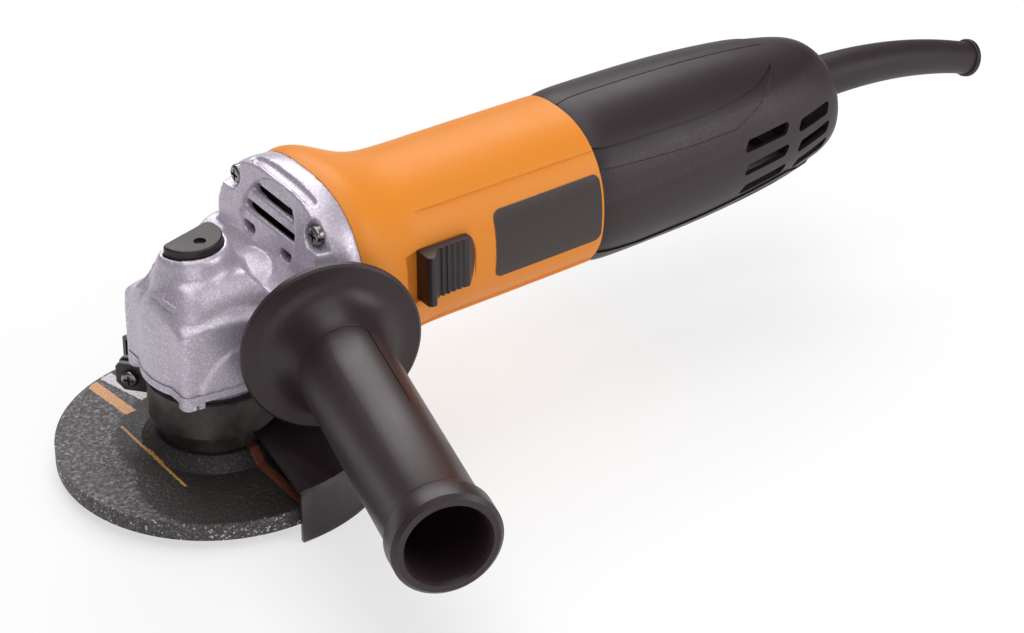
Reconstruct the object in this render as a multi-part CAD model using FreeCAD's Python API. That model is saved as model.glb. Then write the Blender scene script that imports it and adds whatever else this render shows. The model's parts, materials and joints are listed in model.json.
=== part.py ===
"""Angle grinder for 115 mm discs, built as an assembly of separate pieces.

Millimetres. The spindle axis is Z and the motor axis runs along +X, from the gear head to the rear handle.
The origin is on the spindle axis, on the face where the hub of the disc meets the inner flange.
The side handle is fitted on the -Y side.
"""
import FreeCAD, Part
import math
import os

Vector = FreeCAD.Vector

# General clearances and walls
RUN_FIT = 0.03            # radial gap of a shaft in its bearing
SLIDE_FIT = 0.25          # gap round a piece that slides
SEAT_FIT = 0.05           # gap round a piece that is only seated
FREE_GAP = 0.5            # gap between pieces that turn past each other

# Disc with a raised hub
DISC_R = 57.5
DISC_T = 6.4
DISC_BORE_R = 11.1
DISC_HUB_R = 21.5
DISC_HUB_RISE = 4.5
DISC_HUB_SLOPE = 5.0

# Spindle and what turns with it
THREAD_R = 7.0
SPINDLE_R = 6.0
SPINDLE_COLLAR_R = 10.0
SPINDLE_COLLAR_H = 3.5
SPINDLE_TIP_R = 4.0
SPINDLE_TIP_Z = 65.5
FLANGE_R = 19.5
FLANGE_T = 8.0
FLANGE_SPIGOT_H = 4.0
NUT_R = 15.5
NUT_T = 4.3
NUT_PIN_R = 2.4
NUT_PIN_CIRCLE_R = 11.5
NUT_CLEAR = 0.4           # how far the spindle tip stays inside the nut

# Bevel gears, sharing one apex on the spindle axis
GEAR_TEETH = 36
PINION_TEETH = 12
GEAR_PITCH_R = 19.0
TOOTH_FACE = 5.5
TOOTH_BACKLASH = 0.14     # share of a tooth's thickness that is left free
TOOTH_SLOPE = math.radians(20)
ADDENDUM = 0.85           # in modules
DEDENDUM = 1.25           # in modules
GEAR_HUB_R = 8.5
LOCK_HOLES = 4
LOCK_PIN_R = 2.0
LOCK_CIRCLE_R = 10.8
LOCK_PIN_GAP = 1.2        # from the resting pin to the gear
LOCK_TRAVEL = 4.0

# Motor axis and gear head
AXIS_Z = 50.5
HEAD_FRONT_X = -23.0
HEAD_FRONT_HALF = 20.8
HEAD_SIDE_HALF = 23.8
HEAD_CORNER_R = 3.0
HEAD_NOSE_R = 25.6
HEAD_NOSE_X = -17.0
HEAD_EDGE_R = 2.4
HEAD_BASE_Z = 29.0
HEAD_TOP_Z = 54.5
HEAD_EDGE_Z = 52.2
HEAD_ROOF = 4.3
HEAD_REAR_X = 24.4
GEAR_ROOM_R = 20.8
PINION_ROOM_R = 8.8
HUMP = ((2.0, 11.5, 10.8), (14.0, 13.5, 11.6), (26.0, 20.0, 12.8))
SIDE_PAD_R = 24.0
SIDE_PAD_PROUD = 0.7
SIDE_PAD_X = 6.0

# Raised boss and lock button
BUTTON_X = -3.8
BUTTON_Y = 4.2
BUTTON_R = 11.6
BUTTON_FLAT = 2.4
BUTTON_TURN = 14.8
BUTTON_H = 6.0
BUTTON_PROUD = 2.9
BUTTON_CORNER_R = 2.6
BUTTON_DIMPLE_R = 2.2
BUTTON_DIMPLE_Y = -1.4
BOSS_TOP_Z = 74.0
BOSS_SOFTNESS = 1.7       # rounding of the boss where its flat meets its round part
BOSS_PROFILE = (          # how far outside the button, height
    (40.0, 27.0), (40.0, 36.0), (38.5, 44.5), (31.0, 49.8), (24.5, 52.2), (18.5, 54.0), (14.0, 55.8),
    (10.5, 58.4), (7.4, 61.9), (5.2, 65.8), (3.6, 69.6), (2.7, 72.2), (2.0, 73.4), (1.2, 74.0),
)
NOSE_CHAMFER_Z = 51.0     # where the chamfer round the nose starts
NOSE_CHAMFER_L = 5.5
NOSE_CHAMFER_H = 7.0
NOSE_CHAMFER_ANGLE = 23.0
BUTTON_EDGE_R = 0.8
SPRING_R = 2.65
SPRING_WIRE_R = 0.35
SPRING_TURNS = 4
SPRING_STEPS = 14         # facets round one turn of the spring
SPRING_SEAT_Z = 60.0

# Bell that carries the gear head on the motor housing
BELL_FRONT_X = 24.0
BELL_REAR_X = 41.0
BELL_HALF_Y = 38.6
BELL_HALF_Z = 40.8
BELL_POWER = 2.6
BELL_WALL = 3.6
BELL_FRONT_WALL = 4.0
BELL_LEAN = 0.27          # how far the front face leans back, per unit of height
BELL_LEAN_FROM = 19.0     # above the motor axis
FAN_ROOM_X = 32.5
FAN_ROOM_EYE_R = 24.0
VENT_PANEL_R = 17.3
VENT_PANEL_UP = 21.0
VENT_PANEL_DEPTH = 1.3
VENT_ROWS = (15.9, 23.7, 30.6)   # heights above the motor axis
VENT_W = 3.4
VENT_RIM = 0.7
VENT_WEB = 17.0           # width of the solid middle of the lowest slot
CHANNEL_X = 30.4
CHANNEL_W = 3.8
CHANNEL_HALF = 20.0
CHANNEL_DEPTH = 1.4
HEAD_SCREW_Y = 26.0
HEAD_SCREW_Z = 29.7
HEAD_SCREW_SEAT_X = 30.4
HEAD_SCREW_R = 2.2
HEAD_SCREW_HEAD_R = 3.6
HEAD_SCREW_HEAD_H = 2.8
HEAD_SCREW_L = 18.0
SCREW_POCKET_R = 4.3
SCREW_POCKET_PEAK = 9.0
SCREW_BOSS_R = 4.4
SCREW_BOSS_L = 18.0

# Bearing box under the gear head
BOX_FLANGE_T = 3.0
BOX_NECK_R = 20.0
BOX_LIP_T = 3.0
BOX_SCREW_X = 18.5
BOX_SCREW_Y = 18.0
BOX_SCREW_R = 2.0
BOX_SCREW_HEAD_R = 3.3
BOX_SCREW_HEAD_H = 1.6
BOX_SCREW_L = 14.0
BOX_SCREW_BOSS_R = 4.7
BOX_SCREW_BOSS_H = 2.4

# Bearings: bore radius, outer radius, width
SPINDLE_BEARING = (SPINDLE_R, 16.0, 10.0)
NEEDLE_BEARING = (SPINDLE_TIP_R, 6.0, 6.5)
FRONT_BEARING = (5.0, 13.0, 8.0)
REAR_BEARING = (4.0, 11.0, 7.0)
BEARING_RING = 0.26       # share of the section taken by each ring
RETAINER_T = 3.0
RETAINER_BORE_R = 10.0

# Guard and its clamp
GUARD_R = 62.5
GUARD_T = 1.6
GUARD_TOP_Z = 5.5
GUARD_BASE_Z = -15.0
GUARD_EDGE_X = 4.5
GUARD_CORNER_X = -2.5
GUARD_BEAD_R = 1.3
GUARD_NECK_Z = 8.0
CLAMP_T = 1.9
CLAMP_H = 14.0
CLAMP_ANGLE = 131.0
CLAMP_GAP = 2.2
EAR_T = 1.8
EAR_R = 35.4
EAR_H = 11.0
EAR_UP = 1.0              # how far the ears sit above the middle of the band
EAR_CUT = 3.0
EAR_SCREW_R = 2.0
EAR_SCREW_AT_R = 29.8
EAR_HEAD_R = 3.2
EAR_HEAD_H = 2.4
EAR_NUT_R = 3.9
EAR_NUT_H = 3.0

# Motor housing
FAN_HOOD_X = 50.0
MOTOR_REAR_X = 149.0
MOTOR_HALF_Y = 31.3
MOTOR_HALF_Z = 31.9
MOTOR_POWER = 2.3
MOTOR_WALL = 2.6
SIDE_PANEL_DEPTH = 0.6
SIDE_PANEL_X = 71.0
SIDE_PANEL_ANGLE = 45.0
SEAM_W = 0.5
SEAM_DEPTH = 0.4
NECK_R = 27.8
NECK_WALL = 2.4
NECK_L = 12.0
NECK_GROOVE = 1.2
NECK_GROOVE_W = 2.4
NECK_GROOVE_AT = 7.0
STATOR_RIB_W = 4.0
SPIDER_T = 8.0
SPIDER_ARM_W = 6.0
SPIDER_RING = 3.0
LABEL_X0 = 101.0
LABEL_L = 47.0
LABEL_Z_ABOVE = 2.5
LABEL_H = 27.0
LABEL_CORNER_R = 3.0
LABEL_T = 0.7
LABEL_SUNK = 0.4

# Motor
SHAFT_R = 5.0
SHAFT_TIP_R = 2.5
SHAFT_CORE_R = 6.0
PINION_NECK_R = 6.2
FAN_X = 36.0
FAN_R = 33.5
FAN_PLATE_T = 1.8
FAN_BLADE_H = 11.0
FAN_BLADE_T = 1.6
FAN_BLADES = 9
FAN_HUB_R = 9.0
FAN_EYE_R = 15.0
BAFFLE_T = 1.6
BAFFLE_EYE_R = 20.0
STATOR_X = 68.0
STATOR_L = 44.0
STATOR_R = 28.2
STATOR_FLAT = 22.5
STATOR_BORE_R = 19.0
COIL_R = 24.5
COIL_FROM = 17.0
COIL_TO = 40.0
COIL_END = 6.0
CORE_R = 18.2
CORE_SLOTS = 12
SLOT_MOUTH = 1.5
SLOT_W = 3.4
SLOT_FLOOR_R = 10.4
SLOT_TOP_R = 16.6
WINDING_END = 9.0
COMMUTATOR_X = 124.0
COMMUTATOR_L = 14.0
COMMUTATOR_R = 12.0
COMMUTATOR_BARS = 24
COMMUTATOR_SLIT = 0.5
COMMUTATOR_SLIT_DEPTH = 1.0
BRUSH_L = 13.0
BRUSH_W = 6.5
BRUSH_D = 5.5
HOLDER_WALL = 0.9
HOLDER_GAP = 1.0          # from the commutator to the holder

# Slide switch
KNOB_X0 = 67.0
KNOB_L = 25.0
KNOB_H = 20.0
KNOB_BASE_Z_ABOVE = 3.0
KNOB_PROUD = 3.6
KNOB_LIP_PROUD = 4.2
KNOB_LIP_W = 6.0
KNOB_RIBS = 5
KNOB_RIB_STEP = 2.4
KNOB_RIB_W = 1.1
KNOB_RIB_DEPTH = 0.8
KNOB_TRACK_DEPTH = 0.9
KNOB_REAR_R = 14.0
SWITCH_TRAVEL = 6.0
ROD_Y = 25.3
ROD_T = 1.8
ROD_H = 8.0
STEM_W = 5.0
TAB_T = 3.0
TAB_H = 4.0
SWITCH_X0 = 166.0
SWITCH_L = 34.0
SWITCH_HALF_Y = 11.0
SWITCH_HALF_Z = 9.0
SWITCH_SLOT_DEPTH = 2.6

# Rear handle
HANDLE_WALL = 2.6
HANDLE_LIP_T = 2.7
HANDLE_END_X = 269.5
HANDLE_POWER = 2.12
HANDLE_STATIONS = (       # x, half width, half height
    (149.0, 30.6, 31.2),
    (152.5, 31.7, 32.3),
    (158.0, 32.2, 32.7),
    (172.0, 32.2, 32.6),
    (200.0, 31.6, 31.8),
    (220.0, 30.3, 30.4),
    (240.0, 28.1, 28.1),
    (252.0, 26.0, 26.0),
    (260.0, 24.0, 24.0),
    (265.0, 21.9, 21.9),
    (269.5, 17.0, 17.0),
)
HANDLE_SCREWS = ((176.0, 21.5), (176.0, -21.5), (214.0, 21.5), (214.0, -21.5))
HANDLE_SCREW_R = 1.8
HANDLE_SCREW_HEAD_R = 3.3
HANDLE_SCREW_HEAD_H = 2.4
HANDLE_SCREW_HEAD_Y = 18.0
HANDLE_SCREW_L = 22.0
HANDLE_BOSS_R = 4.2
PANEL_TOP_LINE = ((149.0, 23.1), (174.0, 22.5), (203.0, 21.9), (225.0, 23.2), (241.0, 26.4), (262.0, 32.0))
PANEL_LOW_LINE = ((262.0, -22.0), (240.0, -15.6), (199.0, -20.2), (170.0, -22.0), (149.0, -19.6))
GRIP_LOW_LINE = ((226.0, 18.0), (212.0, 13.4), (190.0, 13.8), (149.0, 16.2))
GRIP_DEPTH = 0.45
SLOT_COLUMNS = (          # front end, length, rise towards the rear in degrees
    (213.5, 24.5, 3.0), (241.0, 20.0, 8.0),
)
SLOT_ANGLES = (12.0, -7.0, -26.0, -45.0)
SLOT_H = 4.8
CAPACITOR_X = 206.0
CAPACITOR_L = 20.0
CAPACITOR_HALF_Y = 7.0
CAPACITOR_HALF_Z = 8.0

# Cord guard
SLEEVE_ABOVE = 4.0        # above the motor axis
SLEEVE_R = 8.5
SLEEVE_END_R = 6.5
SLEEVE_LIP_R = 7.5
SLEEVE_LIP_L = 2.4
SLEEVE_BORE_R = 4.1
SLEEVE_STRAIGHT_X = 271.5
SLEEVE_BEND_R = 215.0
SLEEVE_END_L = 8.0
SLEEVE_BEND_ANGLE = 19.5
SLEEVE_FLANGE_R = 12.5
SLEEVE_FLANGE_T = 3.0
SLEEVE_TAIL = 6.0
CLAMP_BAR_X = 238.0
CLAMP_BAR_W = 7.0
CLAMP_BAR_L = 24.0
CLAMP_BAR_T = 4.0

# Side handle: distances are measured along its own axis, from the face of the boss it screws to
SIDE_X = 24.1
SIDE_Y = 37.4
SIDE_DROP = 2.4
SIDE_TILT = 15.0
SIDE_BOSS_R = 12.5
SIDE_BOSS_L = 20.0
SIDE_HOLE_R = 4.0
SIDE_HOLE_L = 16.0
SIDE_HUB_R = 12.2
SIDE_RIM_R = 32.4
SIDE_RIM_AT = 8.0
SIDE_RIM_T = 3.4
SIDE_GRIP_R = 17.1
SIDE_LENGTH = 133.2
SIDE_LIP_R = 19.0
SIDE_LIP_L = 9.0
SIDE_BORE_R = 14.2
SIDE_CORE_L = 46.0
SIDE_PANEL_FROM = 24.0
SIDE_PANEL_TO = 74.0
SIDE_PANEL_HALF = 8.0
SIDE_PANEL_CUT = 0.35
STUD_IN_HANDLE = 34.0
STUD_HEAD_T = 5.5
STUD_HEAD_R = 7.0

# Sizes that follow from the ones above
MODULE = 2 * GEAR_PITCH_R / GEAR_TEETH
PINION_PITCH_R = MODULE * PINION_TEETH / 2
CONE_L = math.hypot(GEAR_PITCH_R, PINION_PITCH_R)
GEAR_CONE = math.atan2(GEAR_PITCH_R, PINION_PITCH_R)
PINION_CONE = math.pi / 2 - GEAR_CONE
CONE_IN = CONE_L - TOOTH_FACE
BEARING_Z = FLANGE_T + SPINDLE_COLLAR_H
BEARING_TOP_Z = BEARING_Z + SPINDLE_BEARING[2]
GEAR_TOP_Z = AXIS_Z - CONE_IN * math.cos(GEAR_CONE) - 0.7
NUT_Z = -DISC_T
BUTTON_TOP_Z = BOSS_TOP_Z + BUTTON_PROUD
EAR_SCREW_Z = GUARD_NECK_Z + CLAMP_H / 2 + EAR_UP
BUTTON_BASE_Z = BUTTON_TOP_Z - BUTTON_H
BUTTON_FLOOR_Z = BUTTON_BASE_Z - LOCK_TRAVEL - SLIDE_FIT
LOCK_PIN_Z = GEAR_TOP_Z + LOCK_PIN_GAP
NEEDLE_Z = SPINDLE_TIP_Z - NEEDLE_BEARING[2]
FRONT_BEARING_X = BELL_FRONT_X + 1.0
REAR_BEARING_X = MOTOR_REAR_X - SPIDER_T
ROD_X1 = SWITCH_X0 + SWITCH_TRAVEL + TAB_T + 2 * SLIDE_FIT + 1.0
TRAVEL_FIT = SWITCH_TRAVEL + SLIDE_FIT
SLEEVE_Z = AXIS_Z + SLEEVE_ABOVE
SLEEVE_X0 = HANDLE_END_X - HANDLE_WALL - SLEEVE_FLANGE_T
SIDE_Z = AXIS_Z - SIDE_DROP


# --- Small helpers -------------------------------------------------------------------------------

def cyl_z(r, z0, z1, x=0.0, y=0.0):
    return Part.makeCylinder(r, z1 - z0, Vector(x, y, z0), Vector(0, 0, 1))


def cyl_x(r, x0, x1, y=0.0, z=AXIS_Z):
    return Part.makeCylinder(r, x1 - x0, Vector(x0, y, z), Vector(1, 0, 0))


def cyl_y(r, y0, y1, x, z):
    return Part.makeCylinder(r, y1 - y0, Vector(x, y0, z), Vector(0, 1, 0))


def block(x0, x1, y0, y1, z0, z1):
    return Part.makeBox(x1 - x0, y1 - y0, z1 - z0, Vector(x0, y0, z0))


def polygon_face(points):
    return Part.Face(Part.makePolygon([*points, points[0]]))


def turned(profile):
    """Solid turned about Z from (radius, height) points."""
    face = polygon_face([Vector(r, 0, z) for r, z in profile])
    return face.revolve(Vector(0, 0, 0), Vector(0, 0, 1), 360)


def turned_x(profile):
    """Solid turned about the motor axis from (x, radius) points."""
    face = polygon_face([Vector(x, 0, AXIS_Z + r) for x, r in profile])
    return face.revolve(Vector(0, 0, AXIS_Z), Vector(1, 0, 0), 360)


def about_axis(shape, degrees):
    """Copy of a shape, turned about the motor axis."""
    copy = shape.copy()
    copy.rotate(Vector(0, 0, AXIS_Z), Vector(1, 0, 0), degrees)
    return copy


def about_spindle(shape, degrees):
    copy = shape.copy()
    copy.rotate(Vector(0, 0, 0), Vector(0, 0, 1), degrees)
    return copy


def other_side(shape):
    return shape.mirror(Vector(0, 0, 0), Vector(0, 1, 0))


def sector_x(r_in, r_out, x0, x1, start, end):
    """Part of a ring about the motor axis; angles are in degrees from +Y towards +Z."""
    face = polygon_face([
        Vector(x0, r_in, AXIS_Z), Vector(x1, r_in, AXIS_Z),
        Vector(x1, r_out, AXIS_Z), Vector(x0, r_out, AXIS_Z),
    ])
    return about_axis(face.revolve(Vector(0, 0, AXIS_Z), Vector(1, 0, 0), end - start), start)


def oval_wire(x, half_y, half_z, power, z_mid=AXIS_Z, count=24):
    """Closed smooth outline between an ellipse (power 2) and a rounded rectangle (power 4 and more)."""
    points = []
    for i in range(count):
        angle = 2 * math.pi * i / count
        c, s = math.cos(angle), math.sin(angle)
        y = math.copysign(abs(c) ** (2 / power), c) * half_y
        z = math.copysign(abs(s) ** (2 / power), s) * half_z
        points.append(Vector(x, y, z_mid + z))
    curve = Part.BSplineCurve()
    curve.interpolate(points, PeriodicFlag=True)
    return Part.Wire(curve.toShape())


def circle_wire(centre, direction, r):
    return Part.Wire(Part.Edge(Part.Circle(centre, direction, r)))


def skin(wires):
    return Part.makeLoft(wires, True, False)


def four_corners(half_y, half_z):
    return [(y, z) for y in (-half_y, half_y) for z in (-half_z, half_z)]


def joined(body, pieces):
    """Fuses the pieces one after another, which is steadier on curved skins than one large fuse."""
    for piece in pieces:
        body = body.fuse(piece)
    return body


def cut_away(body, cutters):
    for cutter in cutters:
        body = body.cut(cutter)
    return body


def bearing(bore_r, outer_r, width):
    """Ball bearing as one solid: two rings with sunk shields between them, turned about Z from z = 0."""
    ring = (outer_r - bore_r) * BEARING_RING
    sunk = width * 0.1
    return turned([
        (bore_r, 0), (bore_r + ring, 0), (bore_r + ring, sunk), (outer_r - ring, sunk), (outer_r - ring, 0),
        (outer_r, 0), (outer_r, width), (outer_r - ring, width), (outer_r - ring, width - sunk),
        (bore_r + ring, width - sunk), (bore_r + ring, width), (bore_r, width),
    ])


def along_x(shape, x):
    """Moves a shape made about Z onto the motor axis, its base at x."""
    copy = shape.copy()
    copy.rotate(Vector(0, 0, 0), Vector(0, 1, 0), 90)
    copy.translate(Vector(x, 0, AXIS_Z))
    return copy


def on_side_boss(shape, side=-1):
    """Moves a shape made about Z from z = 0 onto the side handle's axis; side is -1 for -Y, +1 for +Y."""
    copy = shape.copy()
    copy.rotate(Vector(0, 0, 0), Vector(1, 0, 0), -90 * side)
    copy.rotate(Vector(0, 0, 0), Vector(0, 0, 1), SIDE_TILT * side)
    copy.translate(Vector(SIDE_X, side * SIDE_Y, SIDE_Z))
    return copy


# --- Spindle group -------------------------------------------------------------------------------

def grinding_disc():
    top = -DISC_HUB_RISE
    slope_r = DISC_HUB_R + DISC_HUB_SLOPE
    return turned([
        (DISC_BORE_R, 0), (DISC_HUB_R, 0), (slope_r, top), (DISC_R, top),
        (DISC_R, top - DISC_T), (slope_r, top - DISC_T), (DISC_HUB_R, -DISC_T), (DISC_BORE_R, -DISC_T),
    ])


def inner_flange():
    groove_r = FLANGE_R - 3.0
    return turned([
        (THREAD_R, -FLANGE_SPIGOT_H), (DISC_BORE_R - SEAT_FIT, -FLANGE_SPIGOT_H), (DISC_BORE_R - SEAT_FIT, 0),
        (FLANGE_R, 0), (FLANGE_R, FLANGE_T - 2.0), (groove_r, FLANGE_T), (THREAD_R, FLANGE_T),
    ])


def lock_nut():
    nut = turned([
        (THREAD_R, NUT_Z), (NUT_R, NUT_Z), (NUT_R, NUT_Z - NUT_T + 0.8),
        (NUT_R - 0.8, NUT_Z - NUT_T), (THREAD_R, NUT_Z - NUT_T),
    ])
    for i in range(4):
        angle = math.pi / 2 * i
        x, y = NUT_PIN_CIRCLE_R * math.cos(angle), NUT_PIN_CIRCLE_R * math.sin(angle)
        nut = nut.cut(cyl_z(NUT_PIN_R, NUT_Z - NUT_T, NUT_Z - 1.0, x, y))
    return nut


def spindle():
    tip = NUT_Z - NUT_T + NUT_CLEAR
    journal = SPINDLE_R - RUN_FIT
    return turned([
        (0, tip), (THREAD_R - 1, tip), (THREAD_R, tip + 1), (THREAD_R, FLANGE_T),
        (SPINDLE_COLLAR_R, FLANGE_T), (SPINDLE_COLLAR_R, BEARING_Z), (journal, BEARING_Z),
        (journal, GEAR_TOP_Z + 1.5), (SPINDLE_TIP_R - RUN_FIT, GEAR_TOP_Z + 1.5),
        (SPINDLE_TIP_R - RUN_FIT, SPINDLE_TIP_Z), (0, SPINDLE_TIP_Z),
    ])


def cone_point(length, cone, spread):
    """Point of the crown gear's tooth: distance from the apex, cone angle and angle round the spindle."""
    r = length * math.sin(cone)
    return Vector(r * math.cos(spread), r * math.sin(spread), AXIS_Z - length * math.cos(cone))


def bevel_tooth(pitch_cone, tip_r, root_r, teeth):
    """One straight bevel tooth about the Z axis, with its apex on the motor axis."""
    tip = math.atan(tip_r / CONE_L)
    root = math.atan(root_r / CONE_L)
    pitch_r = CONE_L * math.sin(pitch_cone)
    half = math.pi * pitch_r / teeth / 2 * (1 - TOOTH_BACKLASH)
    tip_half = half - tip_r * math.tan(TOOTH_SLOPE)
    root_half = half + root_r * math.tan(TOOTH_SLOPE)
    tip_cone, root_cone = pitch_cone + tip, pitch_cone - root
    tip_angle = tip_half / (CONE_L * math.sin(tip_cone))
    root_angle = root_half / (CONE_L * math.sin(root_cone))
    ends = []
    for length in (CONE_L, CONE_IN):
        points = [
            cone_point(length, root_cone, -root_angle), cone_point(length, tip_cone, -tip_angle),
            cone_point(length, tip_cone, tip_angle), cone_point(length, root_cone, root_angle),
        ]
        ends.append(Part.makePolygon([*points, points[0]]))
    return Part.makeLoft(ends, True, True)


def bevel_gear():
    root_cone = GEAR_CONE - math.atan(DEDENDUM * MODULE / CONE_L) + 0.01
    outer = cone_point(CONE_L, root_cone, 0)
    inner = cone_point(CONE_IN, root_cone, 0)
    blank = turned([
        (SPINDLE_R - RUN_FIT, BEARING_TOP_Z), (GEAR_HUB_R, BEARING_TOP_Z), (GEAR_HUB_R, outer.z - 8.0),
        (outer.x - 4.0, outer.z - 5.0), (outer.x, outer.z - 3.5), (outer.x, outer.z),
        (inner.x, inner.z), (inner.x, GEAR_TOP_Z), (SPINDLE_R - RUN_FIT, GEAR_TOP_Z),
    ])
    tooth = bevel_tooth(GEAR_CONE, ADDENDUM * MODULE, DEDENDUM * MODULE, GEAR_TEETH)
    step = 360 / GEAR_TEETH
    gear = blank.fuse([about_spindle(tooth, step * (i + 0.5)) for i in range(GEAR_TEETH)])
    hole = cyl_z(LOCK_PIN_R + SLIDE_FIT, outer.z - 5.0, GEAR_TOP_Z + 5, -LOCK_CIRCLE_R, 0)
    holes = [about_spindle(hole, 360 / LOCK_HOLES * i) for i in range(LOCK_HOLES)]
    return gear.cut(holes)


def pinion():
    root_cone = PINION_CONE - math.atan(DEDENDUM * MODULE / CONE_L) + 0.01
    big = cone_point(CONE_L, root_cone, 0)
    small = cone_point(CONE_IN, root_cone, 0)
    neck_end = AXIS_Z - FRONT_BEARING_X
    blank = turned([
        (SHAFT_TIP_R, small.z), (small.x, small.z), (big.x, big.z), (PINION_NECK_R, big.z),
        (PINION_NECK_R, neck_end), (SHAFT_TIP_R, neck_end),
    ])
    tooth = bevel_tooth(PINION_CONE, ADDENDUM * MODULE, DEDENDUM * MODULE, PINION_TEETH)
    step = 360 / PINION_TEETH
    gear = blank.fuse([about_spindle(tooth, step * i) for i in range(PINION_TEETH)])
    gear.rotate(Vector(0, 0, AXIS_Z), Vector(0, 1, 0), -90)
    return gear


# --- Gear head -----------------------------------------------------------------------------------

def head_plan(z0, z1, rear_x, grow=0.0):
    """Body of the head's outline seen from above, with rounded front corners."""
    side = (HEAD_SIDE_HALF - HEAD_FRONT_HALF) / -HEAD_FRONT_X
    rear_half = HEAD_SIDE_HALF + side * rear_x
    points = [
        Vector(HEAD_FRONT_X - grow, -HEAD_FRONT_HALF - grow, z0), Vector(rear_x, -rear_half - grow, z0),
        Vector(rear_x, rear_half + grow, z0), Vector(HEAD_FRONT_X - grow, HEAD_FRONT_HALF + grow, z0),
    ]
    body = polygon_face(points).extrude(Vector(0, 0, z1 - z0))
    corners = [e for e in body.Edges if abs(e.BoundBox.ZLength - (z1 - z0)) < 1e-6
               and e.BoundBox.XMax < HEAD_FRONT_X + 1]
    nose = cyl_z(HEAD_NOSE_R + grow, z0, z1).common(block(-40, HEAD_NOSE_X, -40, 40, z0, z1))
    return body.makeFillet(HEAD_CORNER_R, corners).fuse(nose).removeSplitter()


def boss_wire(grow, z):
    """Button's outline drawn outwards by grow, as one smooth closed wire."""
    r = BUTTON_R + grow
    limit = BUTTON_FLAT + grow - BOSS_SOFTNESS
    turn = math.radians(BUTTON_TURN)
    count = 36
    points = []
    for i in range(count):
        angle = 2 * math.pi * i / count
        x, y = r * math.cos(angle), r * math.sin(angle)
        over = y - limit
        if over > 0:
            y = limit + BOSS_SOFTNESS * (1 - math.exp(-over / BOSS_SOFTNESS))
        points.append(Vector(BUTTON_X + x * math.cos(turn) - y * math.sin(turn),
                             BUTTON_Y + x * math.sin(turn) + y * math.cos(turn), z))
    curve = Part.BSplineCurve()
    curve.interpolate(points, PeriodicFlag=True)
    return Part.Wire(curve.toShape())


def crown():
    """Roof of the head, which rises like a trumpet into the boss round the lock button."""
    return skin([boss_wire(grow, z) for grow, z in BOSS_PROFILE])


def nose_chamfer():
    """Sector of a cone that takes the top edge off the round nose."""
    r0, z0 = HEAD_NOSE_R, NOSE_CHAMFER_Z
    slope = NOSE_CHAMFER_H / NOSE_CHAMFER_L
    profile = [(r0 + 5, z0 - 5 * slope), (r0 + 5, z0 + 30), (r0 - 30 / slope, z0 + 30)]
    face = polygon_face([Vector(r, 0, z) for r, z in profile])
    ring = face.revolve(Vector(0, 0, 0), Vector(0, 0, 1), 2 * NOSE_CHAMFER_ANGLE)
    return about_spindle(ring, 180 - NOSE_CHAMFER_ANGLE)


def head_block():
    body = head_plan(HEAD_BASE_Z, BOSS_TOP_Z + 1, HEAD_REAR_X).common(crown())
    front = [e for e in body.Edges if e.BoundBox.ZMin > HEAD_TOP_Z - 1.5
             and e.BoundBox.XMax < HEAD_FRONT_X + HEAD_CORNER_R]
    return body.makeFillet(HEAD_EDGE_R, front).cut(nose_chamfer())


def bell_skin(wall=0.0):
    """Bell's outer skin, or an offset of it inwards."""
    stations = [
        (BELL_FRONT_X, 33.0, 38.2, 3.6),
        (BELL_FRONT_X + 5, 34.9, 39.3, 3.4),
        (BELL_FRONT_X + 9.5, 37.7, 40.4, 2.9),
        (BELL_REAR_X, BELL_HALF_Y, BELL_HALF_Z, BELL_POWER),
    ]
    return skin([oval_wire(x, y - wall, z - wall, power) for x, y, z, power in stations])


def leaning_cut(depth=0.0):
    """Everything in front of the bell's leaning front face, moved back by depth."""
    reach = 60.0
    x0 = BELL_FRONT_X - BELL_LEAN * BELL_LEAN_FROM + depth
    points = [(0, 0), (x0, 0), (x0 + BELL_LEAN * reach, reach), (0, reach)]
    return polygon_face([Vector(x, -reach, AXIS_Z + z) for x, z in points]).extrude(Vector(0, 2 * reach, 0))


def bell():
    """Bell with the round panel behind the vents sunk into its leaning front and a channel across its top."""
    panel = cyl_x(VENT_PANEL_R, 0, BELL_REAR_X, 0, AXIS_Z + VENT_PANEL_UP).common(leaning_cut(VENT_PANEL_DEPTH))
    channel = block(CHANNEL_X, CHANNEL_X + CHANNEL_W, -CHANNEL_HALF, CHANNEL_HALF, AXIS_Z, AXIS_Z + 60)
    channel = channel.makeFillet(1.5, [e for e in channel.Edges if e.BoundBox.ZLength > 50])
    return cut_away(bell_skin(), [leaning_cut(), panel, channel.cut(bell_skin(CHANNEL_DEPTH))])


def head_flare():
    """Sides of the head widening into the bell."""
    def section(x, half_y, bottom, top):
        return oval_wire(x, half_y, (top - bottom) / 2, 4.5, (top + bottom) / 2)
    return skin([
        section(0.0, HEAD_SIDE_HALF - 0.2, HEAD_BASE_Z, HEAD_TOP_Z - 0.2),
        section(12.0, HEAD_SIDE_HALF + 2.0, HEAD_BASE_Z, HEAD_TOP_Z + 1.5),
        section(22.0, HEAD_SIDE_HALF + 6.5, HEAD_BASE_Z - 1, HEAD_TOP_Z + 7),
        section(30.0, HEAD_SIDE_HALF + 12.0, HEAD_BASE_Z - 9, HEAD_TOP_Z + 20),
    ])


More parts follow.
